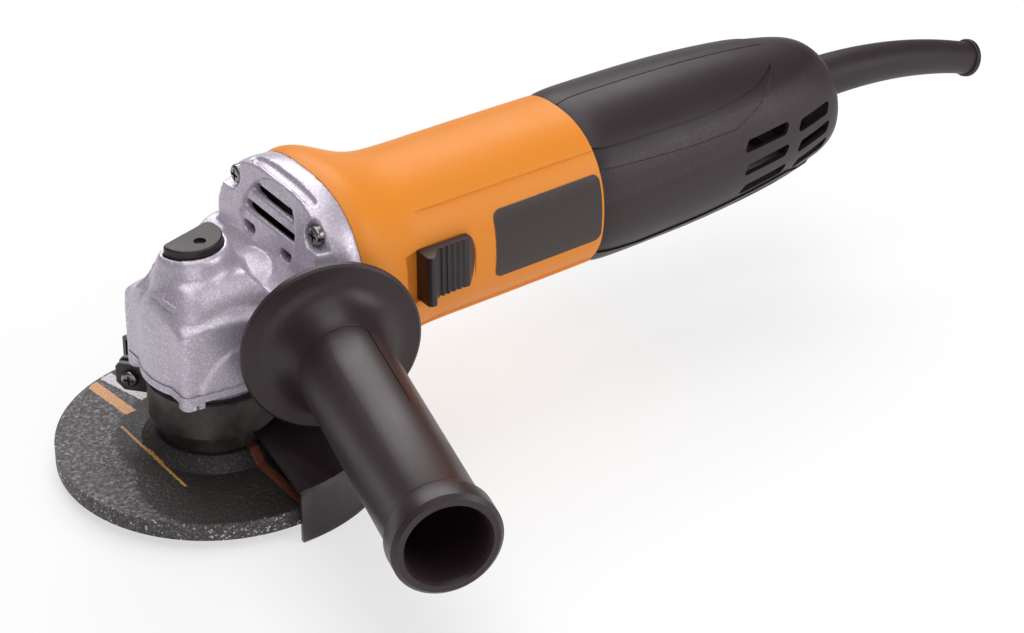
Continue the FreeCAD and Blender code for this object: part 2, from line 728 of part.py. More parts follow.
def vent_slots():
    """Long slots across the round panel, ending at its rim. The lowest has a solid middle."""
    x0, x1 = BELL_FRONT_X - 4, FAN_ROOM_X + 2
    panel = cyl_x(VENT_PANEL_R - VENT_RIM, x0, x1, 0, AXIS_Z + VENT_PANEL_UP)
    slots = []
    for row in VENT_ROWS:
        z = AXIS_Z + row
        slots.append(block(x0, x1, -VENT_PANEL_R, VENT_PANEL_R, z - VENT_W / 2, z + VENT_W / 2).common(panel))
    web = block(x0, x1, -VENT_WEB / 2, VENT_WEB / 2, AXIS_Z, AXIS_Z + VENT_ROWS[0] + VENT_W)
    slots[0] = slots[0].cut(web)
    return slots


def screw_notch(y, z):
    """Notch for a screw's head in a corner of the bell's front: round inside, open outwards, with a peak."""
    r = SCREW_POCKET_R
    out, up = math.copysign(1.0, y), math.copysign(1.0, z)
    corner = polygon_face([
        Vector(0, y - out * 0.93 * r, AXIS_Z + z + up * 0.35 * r),
        Vector(0, y - out * 0.1 * r, AXIS_Z + z + up * SCREW_POCKET_PEAK),
        Vector(0, y + out * 20, AXIS_Z + z + up * SCREW_POCKET_PEAK),
        Vector(0, y + out * 20, AXIS_Z + z - up * r),
        Vector(0, y, AXIS_Z + z - up * r),
    ]).extrude(Vector(HEAD_SCREW_SEAT_X, 0, 0))
    return cyl_x(r, 0, HEAD_SCREW_SEAT_X, y, AXIS_Z + z).fuse(corner)


def button_outline(grow, z0, z1):
    """Round button with one flat, as a solid."""
    r = BUTTON_R + grow
    flat = BUTTON_FLAT + grow
    body = cyl_z(r, z0, z1).cut(block(-2 * r, 2 * r, flat, 2 * r, z0, z1))
    corners = [e for e in body.Edges if e.BoundBox.ZLength > z1 - z0 - 0.001 and e.BoundBox.YMin > flat - 0.001]
    body = about_spindle(body.makeFillet(BUTTON_CORNER_R + grow, corners), BUTTON_TURN)
    body.translate(Vector(BUTTON_X, BUTTON_Y, 0))
    return body


def gear_housing():
    fan_side = block(FAN_X - 1.6, BELL_REAR_X, -60, 60, 0, 120)
    side_boss = Part.makeCylinder(SIDE_BOSS_R, SIDE_BOSS_L, Vector(0, 0, -SIDE_BOSS_L))
    pad = cyl_y(SIDE_PAD_R, -HEAD_SIDE_HALF - SIDE_PAD_PROUD, HEAD_SIDE_HALF + SIDE_PAD_PROUD,
                SIDE_PAD_X, HEAD_BASE_Z - 7)
    pad = pad.common(head_plan(HEAD_BASE_Z, HEAD_TOP_Z, HEAD_REAR_X, SIDE_PAD_PROUD))
    body = joined(head_block(), [
        skin([oval_wire(x, half_y, half_z, 2) for x, half_y, half_z in HUMP]), bell(), head_flare(), pad,
        *[on_side_boss(side_boss, side).cut(fan_side) for side in (-1, 1)],
    ])
    fan_room_r = BELL_HALF_Y - BELL_WALL
    x0 = BELL_FRONT_X + BELL_FRONT_WALL
    x1 = BELL_REAR_X + 1
    bell_inside = turned_x([(x0, 0), (x0, FAN_ROOM_EYE_R), (FAN_ROOM_X, fan_room_r), (x1, fan_room_r), (x1, 0)])
    boss_out = FRONT_BEARING[1] + 3.5
    bell_inside = bell_inside.cut(cyl_x(boss_out, BELL_FRONT_X, FRONT_BEARING_X + FRONT_BEARING[2]))
    hole = Part.makeCylinder(SIDE_HOLE_R, SIDE_HOLE_L, Vector(0, 0, -SIDE_HOLE_L))
    keep = Part.makeCylinder(SIDE_HOLE_R + 3, SIDE_BOSS_L, Vector(0, 0, -SIDE_BOSS_L))
    bell_inside = cut_away(bell_inside, [on_side_boss(keep, side).cut(fan_side) for side in (-1, 1)])
    gear_room = cyl_z(GEAR_ROOM_R, HEAD_BASE_Z - 1, HEAD_TOP_Z - HEAD_ROOF)
    cuts = [
        bell_inside, gear_room,
        block(HEAD_FRONT_X - 5, HEAD_REAR_X, -60, 60, 0, HEAD_BASE_Z),
        cyl_x(PINION_ROOM_R, 6, FRONT_BEARING_X),
        cyl_x(FRONT_BEARING[1] + SEAT_FIT, FRONT_BEARING_X, BELL_REAR_X + 1),
        cyl_z(SPINDLE_TIP_R + 1, HEAD_TOP_Z - 10, NEEDLE_Z),
        cyl_z(NEEDLE_BEARING[1] + SEAT_FIT, NEEDLE_Z, SPINDLE_TIP_Z + 0.4),
        button_outline(SLIDE_FIT, BUTTON_FLOOR_Z, BUTTON_TOP_Z + 1),
        cyl_z(LOCK_PIN_R + SEAT_FIT, HEAD_TOP_Z - 10, BUTTON_TOP_Z, -LOCK_CIRCLE_R),
        cyl_z(SPRING_R + SPRING_WIRE_R + 0.3, SPRING_SEAT_Z, BUTTON_TOP_Z, -LOCK_CIRCLE_R),
        on_side_boss(hole, -1), on_side_boss(hole, 1),
        *vent_slots(),
    ]
    for y, z in four_corners(HEAD_SCREW_Y, HEAD_SCREW_Z):
        cuts.append(screw_notch(y, z))
        cuts.append(cyl_x(HEAD_SCREW_R + 0.2, 0, BELL_REAR_X + 1, y, AXIS_Z + z))
    for x, y in four_corners(BOX_SCREW_X, BOX_SCREW_Y):
        cuts.append(cyl_z(BOX_SCREW_R, HEAD_BASE_Z - 1, HEAD_BASE_Z + BOX_SCREW_L, x, y))
    return cut_away(body, cuts)


def bearing_box():
    flange_z = HEAD_BASE_Z - BOX_FLANGE_T
    neck_z = FLANGE_T + FREE_GAP
    box = head_plan(flange_z, HEAD_BASE_Z, HEAD_REAR_X - SEAT_FIT).fuse(cyl_z(BOX_NECK_R, neck_z, HEAD_BASE_Z))
    outline = head_plan(flange_z - BOX_SCREW_BOSS_H, HEAD_BASE_Z, HEAD_REAR_X - SEAT_FIT)
    bosses = [cyl_z(BOX_SCREW_BOSS_R, flange_z - BOX_SCREW_BOSS_H, HEAD_BASE_Z, x, y).common(outline)
              for x, y in four_corners(BOX_SCREW_X, BOX_SCREW_Y)]
    box = box.fuse(bosses)
    cuts = [
        cyl_z(SPINDLE_COLLAR_R + FREE_GAP, neck_z - 1, BEARING_Z),
        cyl_z(SPINDLE_BEARING[1] + SEAT_FIT, BEARING_Z, HEAD_BASE_Z + 1),
    ]
    head_z = flange_z - BOX_SCREW_BOSS_H + BOX_SCREW_HEAD_H
    for x, y in four_corners(BOX_SCREW_X, BOX_SCREW_Y):
        cuts.append(cyl_z(BOX_SCREW_R, 0, HEAD_BASE_Z + 1, x, y))
        cuts.append(cyl_z(BOX_SCREW_HEAD_R + SLIDE_FIT, 0, head_z, x, y))
    return box.cut(cuts).removeSplitter()


def box_screws():
    z0 = HEAD_BASE_Z - BOX_FLANGE_T - BOX_SCREW_BOSS_H
    head_z = z0 + BOX_SCREW_HEAD_H
    screws = []
    for x, y in four_corners(BOX_SCREW_X, BOX_SCREW_Y):
        head = cyl_z(BOX_SCREW_HEAD_R, z0, head_z, x, y)
        shank = cyl_z(BOX_SCREW_R - SEAT_FIT, head_z, head_z + BOX_SCREW_L, x, y)
        slot = block(x - 2.2, x + 2.2, y - 0.5, y + 0.5, z0, z0 + 1)
        cross = block(x - 0.5, x + 0.5, y - 2.2, y + 2.2, z0, z0 + 1)
        screws.append(head.fuse(shank).cut([slot, cross]))
    return Part.makeCompound(screws)


def head_screws():
    """Cross-head screws that hold the gear head to the motor housing."""
    screws = []
    x0 = HEAD_SCREW_SEAT_X - HEAD_SCREW_HEAD_H
    for y, dz in four_corners(HEAD_SCREW_Y, HEAD_SCREW_Z):
        z = AXIS_Z + dz
        head = cyl_x(HEAD_SCREW_HEAD_R, x0, HEAD_SCREW_SEAT_X, y, z)
        rim = [e for e in head.Edges if e.BoundBox.XMax < x0 + 1e-6]
        head = head.makeFillet(1.4, rim)
        shank = cyl_x(HEAD_SCREW_R - SEAT_FIT, HEAD_SCREW_SEAT_X, HEAD_SCREW_SEAT_X + HEAD_SCREW_L, y, z)
        slot = block(x0, x0 + 1.2, y - 2.2, y + 2.2, z - 0.5, z + 0.5)
        cross = block(x0, x0 + 1.2, y - 0.5, y + 0.5, z - 2.2, z + 2.2)
        screws.append(head.fuse(shank).cut([slot, cross]))
    return Part.makeCompound(screws)


def bearing_retainer():
    ring = turned([
        (RETAINER_BORE_R, BEARING_TOP_Z), (SPINDLE_BEARING[1], BEARING_TOP_Z),
        (SPINDLE_BEARING[1], BEARING_TOP_Z + RETAINER_T), (RETAINER_BORE_R, BEARING_TOP_Z + RETAINER_T),
    ])
    pins = [cyl_z(1.2, BEARING_TOP_Z + 1, BEARING_TOP_Z + RETAINER_T, x, y)
            for x, y in ((13, 0), (-13, 0), (0, 13), (0, -13))]
    return ring.cut(pins)


def spindle_bearing():
    ring = bearing(*SPINDLE_BEARING)
    ring.translate(Vector(0, 0, BEARING_Z))
    return ring


def needle_bearing():
    return turned([
        (NEEDLE_BEARING[0], NEEDLE_Z), (NEEDLE_BEARING[1], NEEDLE_Z),
        (NEEDLE_BEARING[1], SPINDLE_TIP_Z), (NEEDLE_BEARING[0], SPINDLE_TIP_Z),
    ])


def lock_button():
    button = button_outline(0.0, BUTTON_BASE_Z, BUTTON_TOP_Z)
    rim = [e for e in button.Edges if e.BoundBox.ZMin > BUTTON_TOP_Z - 1e-6]
    button = button.makeFillet(BUTTON_EDGE_R, rim)
    hollow = button_outline(-1.6, BUTTON_BASE_Z, BUTTON_TOP_Z - 2.6)
    post = cyl_z(LOCK_PIN_R + 2.0, BUTTON_BASE_Z, BUTTON_TOP_Z - 2.6, -LOCK_CIRCLE_R)
    hollow = hollow.cut(post)
    dimple = cyl_z(BUTTON_DIMPLE_R, BUTTON_TOP_Z - 1.2, BUTTON_TOP_Z + 1, BUTTON_X + 1, BUTTON_DIMPLE_Y)
    pin_hole = cyl_z(LOCK_PIN_R, BUTTON_BASE_Z, BUTTON_TOP_Z - 2.6, -LOCK_CIRCLE_R)
    return button.cut([hollow, dimple, pin_hole])


def lock_pin():
    return cyl_z(LOCK_PIN_R, LOCK_PIN_Z, BUTTON_TOP_Z - 2.6, -LOCK_CIRCLE_R)


def lock_spring():
    """Coil spring between its seat in the boss and the underside of the button."""
    z0 = SPRING_SEAT_Z + SPRING_WIRE_R + 0.1
    height = BUTTON_BASE_Z - SPRING_SEAT_Z - 2 * SPRING_WIRE_R - 0.2
    steps = SPRING_STEPS * SPRING_TURNS
    rings = []
    for i in range(steps + 1):
        turn = 360 * SPRING_TURNS * i / steps
        ring = Part.makePolygon([
            Vector(SPRING_R + SPRING_WIRE_R * math.cos(math.pi / 3 * k), 0, SPRING_WIRE_R * math.sin(math.pi / 3 * k))
            for k in range(7)
        ])
        ring.rotate(Vector(0, 0, 0), Vector(0, 0, 1), turn)
        ring.translate(Vector(-LOCK_CIRCLE_R, 0, z0 + height * i / steps))
        rings.append(ring)
    return Part.makeLoft(rings, True, True)


# --- Guard ---------------------------------------------------------------------------------------

def guard():
    neck_in = BOX_NECK_R + SEAT_FIT
    neck_out = neck_in + GUARD_T
    plate_z = GUARD_TOP_Z - GUARD_T
    tray = turned([
        (neck_in, plate_z), (GUARD_R - GUARD_T, plate_z), (GUARD_R - GUARD_T, GUARD_BASE_Z),
        (GUARD_R + 0.4, GUARD_BASE_Z), (GUARD_R + 1.0, GUARD_BASE_Z + 0.8), (GUARD_R + 0.4, GUARD_BASE_Z + 2.2),
        (GUARD_R, GUARD_BASE_Z + 3.0), (GUARD_R, GUARD_TOP_Z - 1.2), (GUARD_R - 1.2, GUARD_TOP_Z),
        (neck_out, GUARD_TOP_Z), (neck_out, GUARD_NECK_Z), (neck_in, GUARD_NECK_Z),
    ])
    far = GUARD_R + 10
    half_plan = [
        Vector(GUARD_EDGE_X, 0, GUARD_BASE_Z - 1), Vector(GUARD_EDGE_X, neck_in, GUARD_BASE_Z - 1),
        Vector(GUARD_CORNER_X, GUARD_R, GUARD_BASE_Z - 1), Vector(GUARD_CORNER_X, far, GUARD_BASE_Z - 1),
        Vector(far, far, GUARD_BASE_Z - 1), Vector(far, 0, GUARD_BASE_Z - 1),
    ]
    sector = polygon_face(half_plan).extrude(Vector(0, 0, GUARD_NECK_Z - GUARD_BASE_Z + 2))
    sector = sector.fuse(other_side(sector))
    tray = tray.common(sector)
    neck = cyl_z(neck_out, GUARD_NECK_Z, GUARD_NECK_Z + CLAMP_H + SLIDE_FIT)
    neck = neck.cut(cyl_z(neck_in, 0, 60))
    return tray.fuse(neck).removeSplitter()


def clamp_tangent(shape):
    """Turns a shape drawn at +X round to the clamp's ears."""
    return about_spindle(shape, CLAMP_ANGLE)


def clamp_ear(y0):
    z0 = EAR_SCREW_Z - EAR_H / 2
    r0 = BOX_NECK_R + SEAT_FIT + GUARD_T + CLAMP_T / 2
    points = [
        (r0, z0), (EAR_R - EAR_CUT, z0), (EAR_R, z0 + EAR_CUT), (EAR_R, z0 + EAR_H - EAR_CUT / 2),
        (EAR_R - EAR_CUT / 2, z0 + EAR_H), (r0, z0 + EAR_H),
    ]
    return polygon_face([Vector(x, y0, z) for x, z in points]).extrude(Vector(0, EAR_T, 0))


def guard_clamp():
    band_in = BOX_NECK_R + 2 * SEAT_FIT + GUARD_T
    band = cyl_z(band_in + CLAMP_T, GUARD_NECK_Z, GUARD_NECK_Z + CLAMP_H)
    band = band.cut(cyl_z(band_in, 0, 60))
    half = CLAMP_GAP / 2
    band = band.cut(block(0, 60, -half, half, 0, 60))
    ears = band.fuse([clamp_ear(half), clamp_ear(-half - EAR_T)])
    ears = ears.cut(cyl_y(EAR_SCREW_R + SEAT_FIT, -20, 20, EAR_SCREW_AT_R, EAR_SCREW_Z))
    return clamp_tangent(ears.cut(cyl_z(band_in, 0, 60)))


def clamp_screw():
    z = EAR_SCREW_Z
    face = CLAMP_GAP / 2 + EAR_T
    head = cyl_y(EAR_HEAD_R, face, face + EAR_HEAD_H, EAR_SCREW_AT_R, z)
    rim = [e for e in head.Edges if e.BoundBox.YMin > face + EAR_HEAD_H - 1e-6]
    head = head.makeFillet(1.2, rim)
    shank = cyl_y(EAR_SCREW_R, -face - EAR_NUT_H - 0.8, face, EAR_SCREW_AT_R, z)
    y0 = face + EAR_HEAD_H - 1.4
    arm = 0.6 * EAR_HEAD_R
    slot = block(EAR_SCREW_AT_R - arm, EAR_SCREW_AT_R + arm, y0, y0 + 2, z - 0.5, z + 0.5)
    cross = block(EAR_SCREW_AT_R - 0.5, EAR_SCREW_AT_R + 0.5, y0, y0 + 2, z - arm, z + arm)
    return clamp_tangent(head.fuse(shank).cut([slot, cross]))


def hexagon(across_corners, height):
    points = [Vector(across_corners * math.cos(math.pi / 3 * i), across_corners * math.sin(math.pi / 3 * i), 0)
              for i in range(6)]
    return polygon_face(points).extrude(Vector(0, 0, height))


def clamp_nut():
    nut = hexagon(EAR_NUT_R, EAR_NUT_H)
    nut.rotate(Vector(0, 0, 0), Vector(1, 0, 0), 90)
    nut.translate(Vector(EAR_SCREW_AT_R, -CLAMP_GAP / 2 - EAR_T, EAR_SCREW_Z))
    hole = cyl_y(EAR_SCREW_R, -20, 20, EAR_SCREW_AT_R, EAR_SCREW_Z)
    return clamp_tangent(nut.cut(hole))


# --- Motor housing -------------------------------------------------------------------------------

def motor_stations(wall):
    """Outlines of the motor housing, or of its inside when wall is more than 0."""
    stations = [
        (BELL_REAR_X, BELL_HALF_Y, BELL_HALF_Z, BELL_POWER),
        (FAN_HOOD_X, BELL_HALF_Y - 0.2, BELL_HALF_Z - 0.3, BELL_POWER),
        (FAN_HOOD_X + 8, BELL_HALF_Y - 2.9, BELL_HALF_Z - 3.8, 2.5),
        (FAN_HOOD_X + 18, MOTOR_HALF_Y + 1.3, MOTOR_HALF_Z + 1.4, 2.4),
        (FAN_HOOD_X + 30, MOTOR_HALF_Y + 0.3, MOTOR_HALF_Z + 0.3, MOTOR_POWER),
        (FAN_HOOD_X + 45, MOTOR_HALF_Y + 0.1, MOTOR_HALF_Z + 0.1, MOTOR_POWER),
        (FAN_HOOD_X + 62, MOTOR_HALF_Y, MOTOR_HALF_Z, MOTOR_POWER),
        (FAN_HOOD_X + 80, MOTOR_HALF_Y - 0.2, MOTOR_HALF_Z - 0.2, MOTOR_POWER),
        (MOTOR_REAR_X, MOTOR_HALF_Y - 0.5, MOTOR_HALF_Z - 0.5, MOTOR_POWER),
    ]
    return [oval_wire(x, y - wall, z - wall, power) for x, y, z, power in stations]


def motor_skin(wall=0.0):
    return skin(motor_stations(wall))


def side_panels():
    """Thin layer taken off both flanks of the motor housing, up to a crease at the top and one at the bottom."""
    half = SIDE_PANEL_ANGLE
    inner = motor_skin(SIDE_PANEL_DEPTH)
    wedges = [sector_x(10, 60, SIDE_PANEL_X, MOTOR_REAR_X + 1, start - half, start + half) for start in (0, 180)]
    return [wedge.cut(inner) for wedge in wedges]


def label_prism(grow=0.0):
    """Prism that cuts the label's outline out of the housing's left side."""
    z_mid = AXIS_Z + LABEL_Z_ABOVE
    body = block(LABEL_X0 - grow, LABEL_X0 + LABEL_L + grow, -60, -10,
                 z_mid - LABEL_H / 2 - grow, z_mid + LABEL_H / 2 + grow)
    edges = [e for e in body.Edges if e.BoundBox.YLength > 40]
    return body.makeFillet(LABEL_CORNER_R, edges)


def motor_end(wall, x0, x1):
    """Straight stretch of the housing's outline near its rear end, as a solid."""
    outline = oval_wire(x0, MOTOR_HALF_Y - wall, MOTOR_HALF_Z - wall, MOTOR_POWER)
    return Part.Face(outline).extrude(Vector(x1 - x0, 0, 0))


def label_plate():
    sunk = SIDE_PANEL_DEPTH + LABEL_SUNK
    outer = motor_skin(sunk - LABEL_T)
    return outer.common(label_prism(-SEAT_FIT)).cut(motor_skin(sunk - SEAT_FIT))


def knob_track():
    """Shallow track that the switch knob slides in, and the slot under it for the stem."""
    z_mid = AXIS_Z + KNOB_BASE_Z_ABOVE
    track = block(KNOB_X0 - TRAVEL_FIT, KNOB_X0 + KNOB_L + SLIDE_FIT,
                  -MOTOR_HALF_Y - 5, -MOTOR_HALF_Y + KNOB_TRACK_DEPTH,
                  z_mid - KNOB_H / 2 - SLIDE_FIT, z_mid + KNOB_H / 2 + SLIDE_FIT)
    stem_x = KNOB_X0 + KNOB_L / 2
    slot = block(stem_x - STEM_W / 2 - TRAVEL_FIT, stem_x + STEM_W / 2 + SLIDE_FIT, -MOTOR_HALF_Y - 5, -20,
                 AXIS_Z - ROD_H / 2 - SLIDE_FIT, AXIS_Z + ROD_H / 2 + SLIDE_FIT)
    return [track, slot]


def spider():
    """Arms that carry the rear bearing inside the motor housing."""
    ring_r = REAR_BEARING[1] + SPIDER_RING
    arm = block(REAR_BEARING_X, MOTOR_REAR_X, ring_r - 1, 60, AXIS_Z - SPIDER_ARM_W / 2, AXIS_Z + SPIDER_ARM_W / 2)
    arms = [about_axis(arm, 45 + 90 * i) for i in range(4)]
    return cyl_x(ring_r, REAR_BEARING_X, MOTOR_REAR_X).fuse(arms)


def holder_outline(grow, r0, r1):
    """Outline of one brush holder, standing up from the commutator."""
    x_mid = COMMUTATOR_X + COMMUTATOR_L / 2
    half_x = BRUSH_W / 2 + HOLDER_WALL + grow
    half_y = BRUSH_D / 2 + HOLDER_WALL + grow
    return block(x_mid - half_x, x_mid + half_x, -half_y, half_y, AXIS_Z + r0, AXIS_Z + r1)


def motor_housing():
    outside = motor_skin()
    shell = outside.cut(motor_skin(MOTOR_WALL))
    fill = [cyl_x(SCREW_BOSS_R, BELL_REAR_X, BELL_REAR_X + SCREW_BOSS_L, y, AXIS_Z + z)
            for y, z in four_corners(HEAD_SCREW_Y, HEAD_SCREW_Z)]
    rib = block(STATOR_X, STATOR_X + STATOR_L, STATOR_R - 1, 60, AXIS_Z - STATOR_RIB_W / 2, AXIS_Z + STATOR_RIB_W / 2)
    fill += [about_axis(rib, 45 + 90 * i).cut(cyl_x(STATOR_R, STATOR_X - 1, STATOR_X + STATOR_L + 1))
             for i in range(4)]
    fill.append(spider())
    pad = block(COMMUTATOR_X, COMMUTATOR_X + COMMUTATOR_L, -7, 7, AXIS_Z + MOTOR_HALF_Z - 7, AXIS_Z + 60)
    fill += [pad, about_axis(pad, 180)]
    z_mid = AXIS_Z + KNOB_BASE_Z_ABOVE
    floor = -MOTOR_HALF_Y + KNOB_TRACK_DEPTH
    fill.append(block(KNOB_X0 - TRAVEL_FIT - 1.5, KNOB_X0 + KNOB_L + 1.5, floor - 10, floor + 2,
                      z_mid - KNOB_H / 2 - 2, z_mid + KNOB_H / 2 + 2))
    seat = cyl_x(60, FAN_HOOD_X + 4, FAN_HOOD_X + 8).cut(cyl_x(FAN_R - 1.5, FAN_HOOD_X, FAN_HOOD_X + 20))
    fill.append(seat)
    fill.append(cyl_x(60, MOTOR_REAR_X - 3, MOTOR_REAR_X).cut(cyl_x(NECK_R - NECK_WALL, 100, 200)))
    body = joined(shell, [piece.common(outside) for piece in fill])
    neck = cyl_x(NECK_R, MOTOR_REAR_X - 3, MOTOR_REAR_X + NECK_L).cut(cyl_x(NECK_R - NECK_WALL, 100, 200))
    groove_x = MOTOR_REAR_X + NECK_GROOVE_AT
    groove = cyl_x(60, groove_x, groove_x + NECK_GROOVE_W).cut(cyl_x(NECK_R - NECK_GROOVE, 100, 200))
    body = body.fuse(neck)
    seam = cyl_x(60, MOTOR_REAR_X - SEAM_W, MOTOR_REAR_X).cut(
        motor_end(SEAM_DEPTH + SIDE_PANEL_DEPTH, MOTOR_REAR_X - SEAM_W, MOTOR_REAR_X))
    cuts = [
        groove, seam, *side_panels(), *knob_track(),
        label_prism(0.0).cut(motor_skin(SIDE_PANEL_DEPTH + LABEL_SUNK)),
        cyl_x(REAR_BEARING[1] + SEAT_FIT, REAR_BEARING_X - 1, REAR_BEARING_X + REAR_BEARING[2]),
        cyl_x(REAR_BEARING[0] + 1.5, REAR_BEARING_X, MOTOR_REAR_X + 1),
        holder_outline(SEAT_FIT, 0, MOTOR_HALF_Z - MOTOR_WALL),
        about_axis(holder_outline(SEAT_FIT, 0, MOTOR_HALF_Z - MOTOR_WALL), 180),
        block(STATOR_X, MOTOR_REAR_X + NECK_L + 1, -ROD_Y - ROD_T / 2 - 1.6, -ROD_Y + 5,
              AXIS_Z - ROD_H / 2 - SLIDE_FIT, AXIS_Z + ROD_H / 2 + SLIDE_FIT),
    ]
    for y, z in four_corners(HEAD_SCREW_Y, HEAD_SCREW_Z):
        cuts.append(cyl_x(HEAD_SCREW_R, BELL_REAR_X - 1, HEAD_SCREW_SEAT_X + HEAD_SCREW_L + 1, y, AXIS_Z + z))
    return cut_away(body, cuts)


def air_baffle():
    x0 = FAN_HOOD_X + 4 - BAFFLE_T
    rim_r = FAN_R + 1.2
    return turned_x([
        (x0, rim_r), (x0 + BAFFLE_T, rim_r), (x0 + BAFFLE_T, BAFFLE_EYE_R + 2), (x0 + 5, BAFFLE_EYE_R),
        (x0 + 5, BAFFLE_EYE_R - 1.5), (x0, BAFFLE_EYE_R),
    ])


# --- Motor ---------------------------------------------------------------------------------------

def armature_shaft():
    tip_x = CONE_IN * math.cos(PINION_CONE)
    return turned_x([
        (tip_x, 0), (tip_x, SHAFT_TIP_R), (FRONT_BEARING_X, SHAFT_TIP_R), (FRONT_BEARING_X, SHAFT_R - RUN_FIT),
        (STATOR_X - 8, SHAFT_R - RUN_FIT), (STATOR_X - 8, SHAFT_CORE_R),
        (REAR_BEARING_X, SHAFT_CORE_R), (REAR_BEARING_X, REAR_BEARING[0] - RUN_FIT),
        (MOTOR_REAR_X, REAR_BEARING[0] - RUN_FIT), (MOTOR_REAR_X, 0),
    ])


def slot_cutter(x0, x1):
    """One winding slot of the armature core, cut from +Y."""
    mouth = block(x0, x1, SLOT_FLOOR_R, CORE_R + 1, AXIS_Z - SLOT_MOUTH / 2, AXIS_Z + SLOT_MOUTH / 2)
    room = block(x0, x1, SLOT_FLOOR_R, SLOT_TOP_R, AXIS_Z - SLOT_W / 2, AXIS_Z + SLOT_W / 2)
    return mouth.fuse(room)


def armature_core():
    x0, x1 = STATOR_X + 1, STATOR_X + STATOR_L - 1
    core = cyl_x(CORE_R, x0, x1).cut(cyl_x(SHAFT_CORE_R, x0 - 1, x1 + 1))
    cutter = slot_cutter(x0 - 1, x1 + 1)
    step = 360 / CORE_SLOTS
    return core.cut([about_axis(cutter, step * i) for i in range(CORE_SLOTS)])


def armature_windings():
    x0, x1 = STATOR_X + 1, STATOR_X + STATOR_L - 1
    bar = block(x0, x1, SLOT_FLOOR_R, SLOT_TOP_R, AXIS_Z - SLOT_W / 2, AXIS_Z + SLOT_W / 2)
    step = 360 / CORE_SLOTS
    bars = [about_axis(bar, step * i) for i in range(CORE_SLOTS)]

    def end_turns(x_core, x_far):
        return turned_x([
            (x_core, SHAFT_CORE_R), (x_core, SLOT_TOP_R), (x_core + (x_far - x_core) * 0.6, SLOT_TOP_R - 0.6),
            (x_far, SLOT_FLOOR_R + 2), (x_far, SHAFT_CORE_R),
        ])
    return end_turns(x0, x0 - WINDING_END).fuse([end_turns(x1, x1 + WINDING_END), *bars])


def commutator():
    x1 = COMMUTATOR_X + COMMUTATOR_L
    body = cyl_x(COMMUTATOR_R, COMMUTATOR_X, x1).fuse(cyl_x(COMMUTATOR_R + 2, COMMUTATOR_X - 2.5, COMMUTATOR_X))
    body = body.cut(cyl_x(SHAFT_CORE_R, COMMUTATOR_X - 5, x1 + 1))
    slit = block(COMMUTATOR_X, x1, COMMUTATOR_R - COMMUTATOR_SLIT_DEPTH, COMMUTATOR_R + 1,
                 AXIS_Z - COMMUTATOR_SLIT / 2, AXIS_Z + COMMUTATOR_SLIT / 2)
    step = 360 / COMMUTATOR_BARS
    return body.cut([about_axis(slit, step * i) for i in range(COMMUTATOR_BARS)])


def fan_blade(x0):
    """One blade, curved back against the turn, drawn from the hub out."""
    inner, outer = FAN_EYE_R, FAN_R
    mid = (inner + outer) / 2
    front = Part.Arc(Vector(x0, inner, AXIS_Z), Vector(x0, mid, AXIS_Z + 3.0), Vector(x0, outer - 2, AXIS_Z + 9.0))
    back = Part.Arc(Vector(x0, outer - 2.6, AXIS_Z + 9.0 + FAN_BLADE_T),
                    Vector(x0, mid - 0.6, AXIS_Z + 3.0 + FAN_BLADE_T), Vector(x0, inner - 0.3, AXIS_Z + FAN_BLADE_T))
    start = Part.makeLine(Vector(x0, inner - 0.3, AXIS_Z + FAN_BLADE_T), Vector(x0, inner, AXIS_Z))
    end = Part.makeLine(Vector(x0, outer - 2, AXIS_Z + 9.0), Vector(x0, outer - 2.6, AXIS_Z + 9.0 + FAN_BLADE_T))
    outline = Part.Wire([front.toShape(), end, back.toShape(), start])
    return Part.Face(outline).extrude(Vector(FAN_BLADE_H, 0, 0))


def fan():
    plate_x = FAN_X + FAN_PLATE_T
    body = cyl_x(FAN_R, FAN_X, plate_x).fuse(cyl_x(FAN_HUB_R, FAN_X - 1, plate_x + FAN_BLADE_H))
    blade = fan_blade(plate_x - 0.2)
    step = 360 / FAN_BLADES
    body = body.fuse([about_axis(blade, step * i) for i in range(FAN_BLADES)])
    return body.cut(cyl_x(SHAFT_R - RUN_FIT, FAN_X - 3, plate_x + FAN_BLADE_H + 3)).removeSplitter()


def front_bearing():
    return along_x(bearing(*FRONT_BEARING), FRONT_BEARING_X)


def rear_bearing():
    return along_x(bearing(*REAR_BEARING), REAR_BEARING_X)


def stator_core():
    x1 = STATOR_X + STATOR_L
    core = cyl_x(STATOR_R, STATOR_X, x1).common(block(STATOR_X, x1, -STATOR_FLAT, STATOR_FLAT, 0, 200))
    windows = [sector_x(STATOR_BORE_R - 1, COIL_R, STATOR_X, x1, start, start + 2 * COIL_TO)
               for start in (-COIL_TO, 180 - COIL_TO)]
    windows = [window.common(block(STATOR_X, x1, -STATOR_FLAT + 2, STATOR_FLAT - 2, 0, 200)) for window in windows]
    return core.cut([cyl_x(STATOR_BORE_R, STATOR_X - 1, x1 + 1), *windows])


def field_coils():
    """Two saddle coils, one round each pole."""
    r_in = STATOR_BORE_R + 0.6
    x0, x1 = STATOR_X, STATOR_X + STATOR_L
    side = block(x0 - 20, x1 + 20, -STATOR_FLAT + 2, STATOR_FLAT - 2, 0, 200)
    legs = [sector_x(r_in, COIL_R, x0, x1, start, start + COIL_TO - COIL_FROM)
            for start in (COIL_FROM, 180 - COIL_TO)]
    ends = [sector_x(r_in, COIL_R, x, x + COIL_END, COIL_FROM, 180 - COIL_FROM) for x in (x0 - COIL_END, x1)]
    coil = ends[0].fuse([ends[1], *legs]).common(side).removeSplitter()
    return Part.makeCompound([coil, about_axis(coil, 180)])


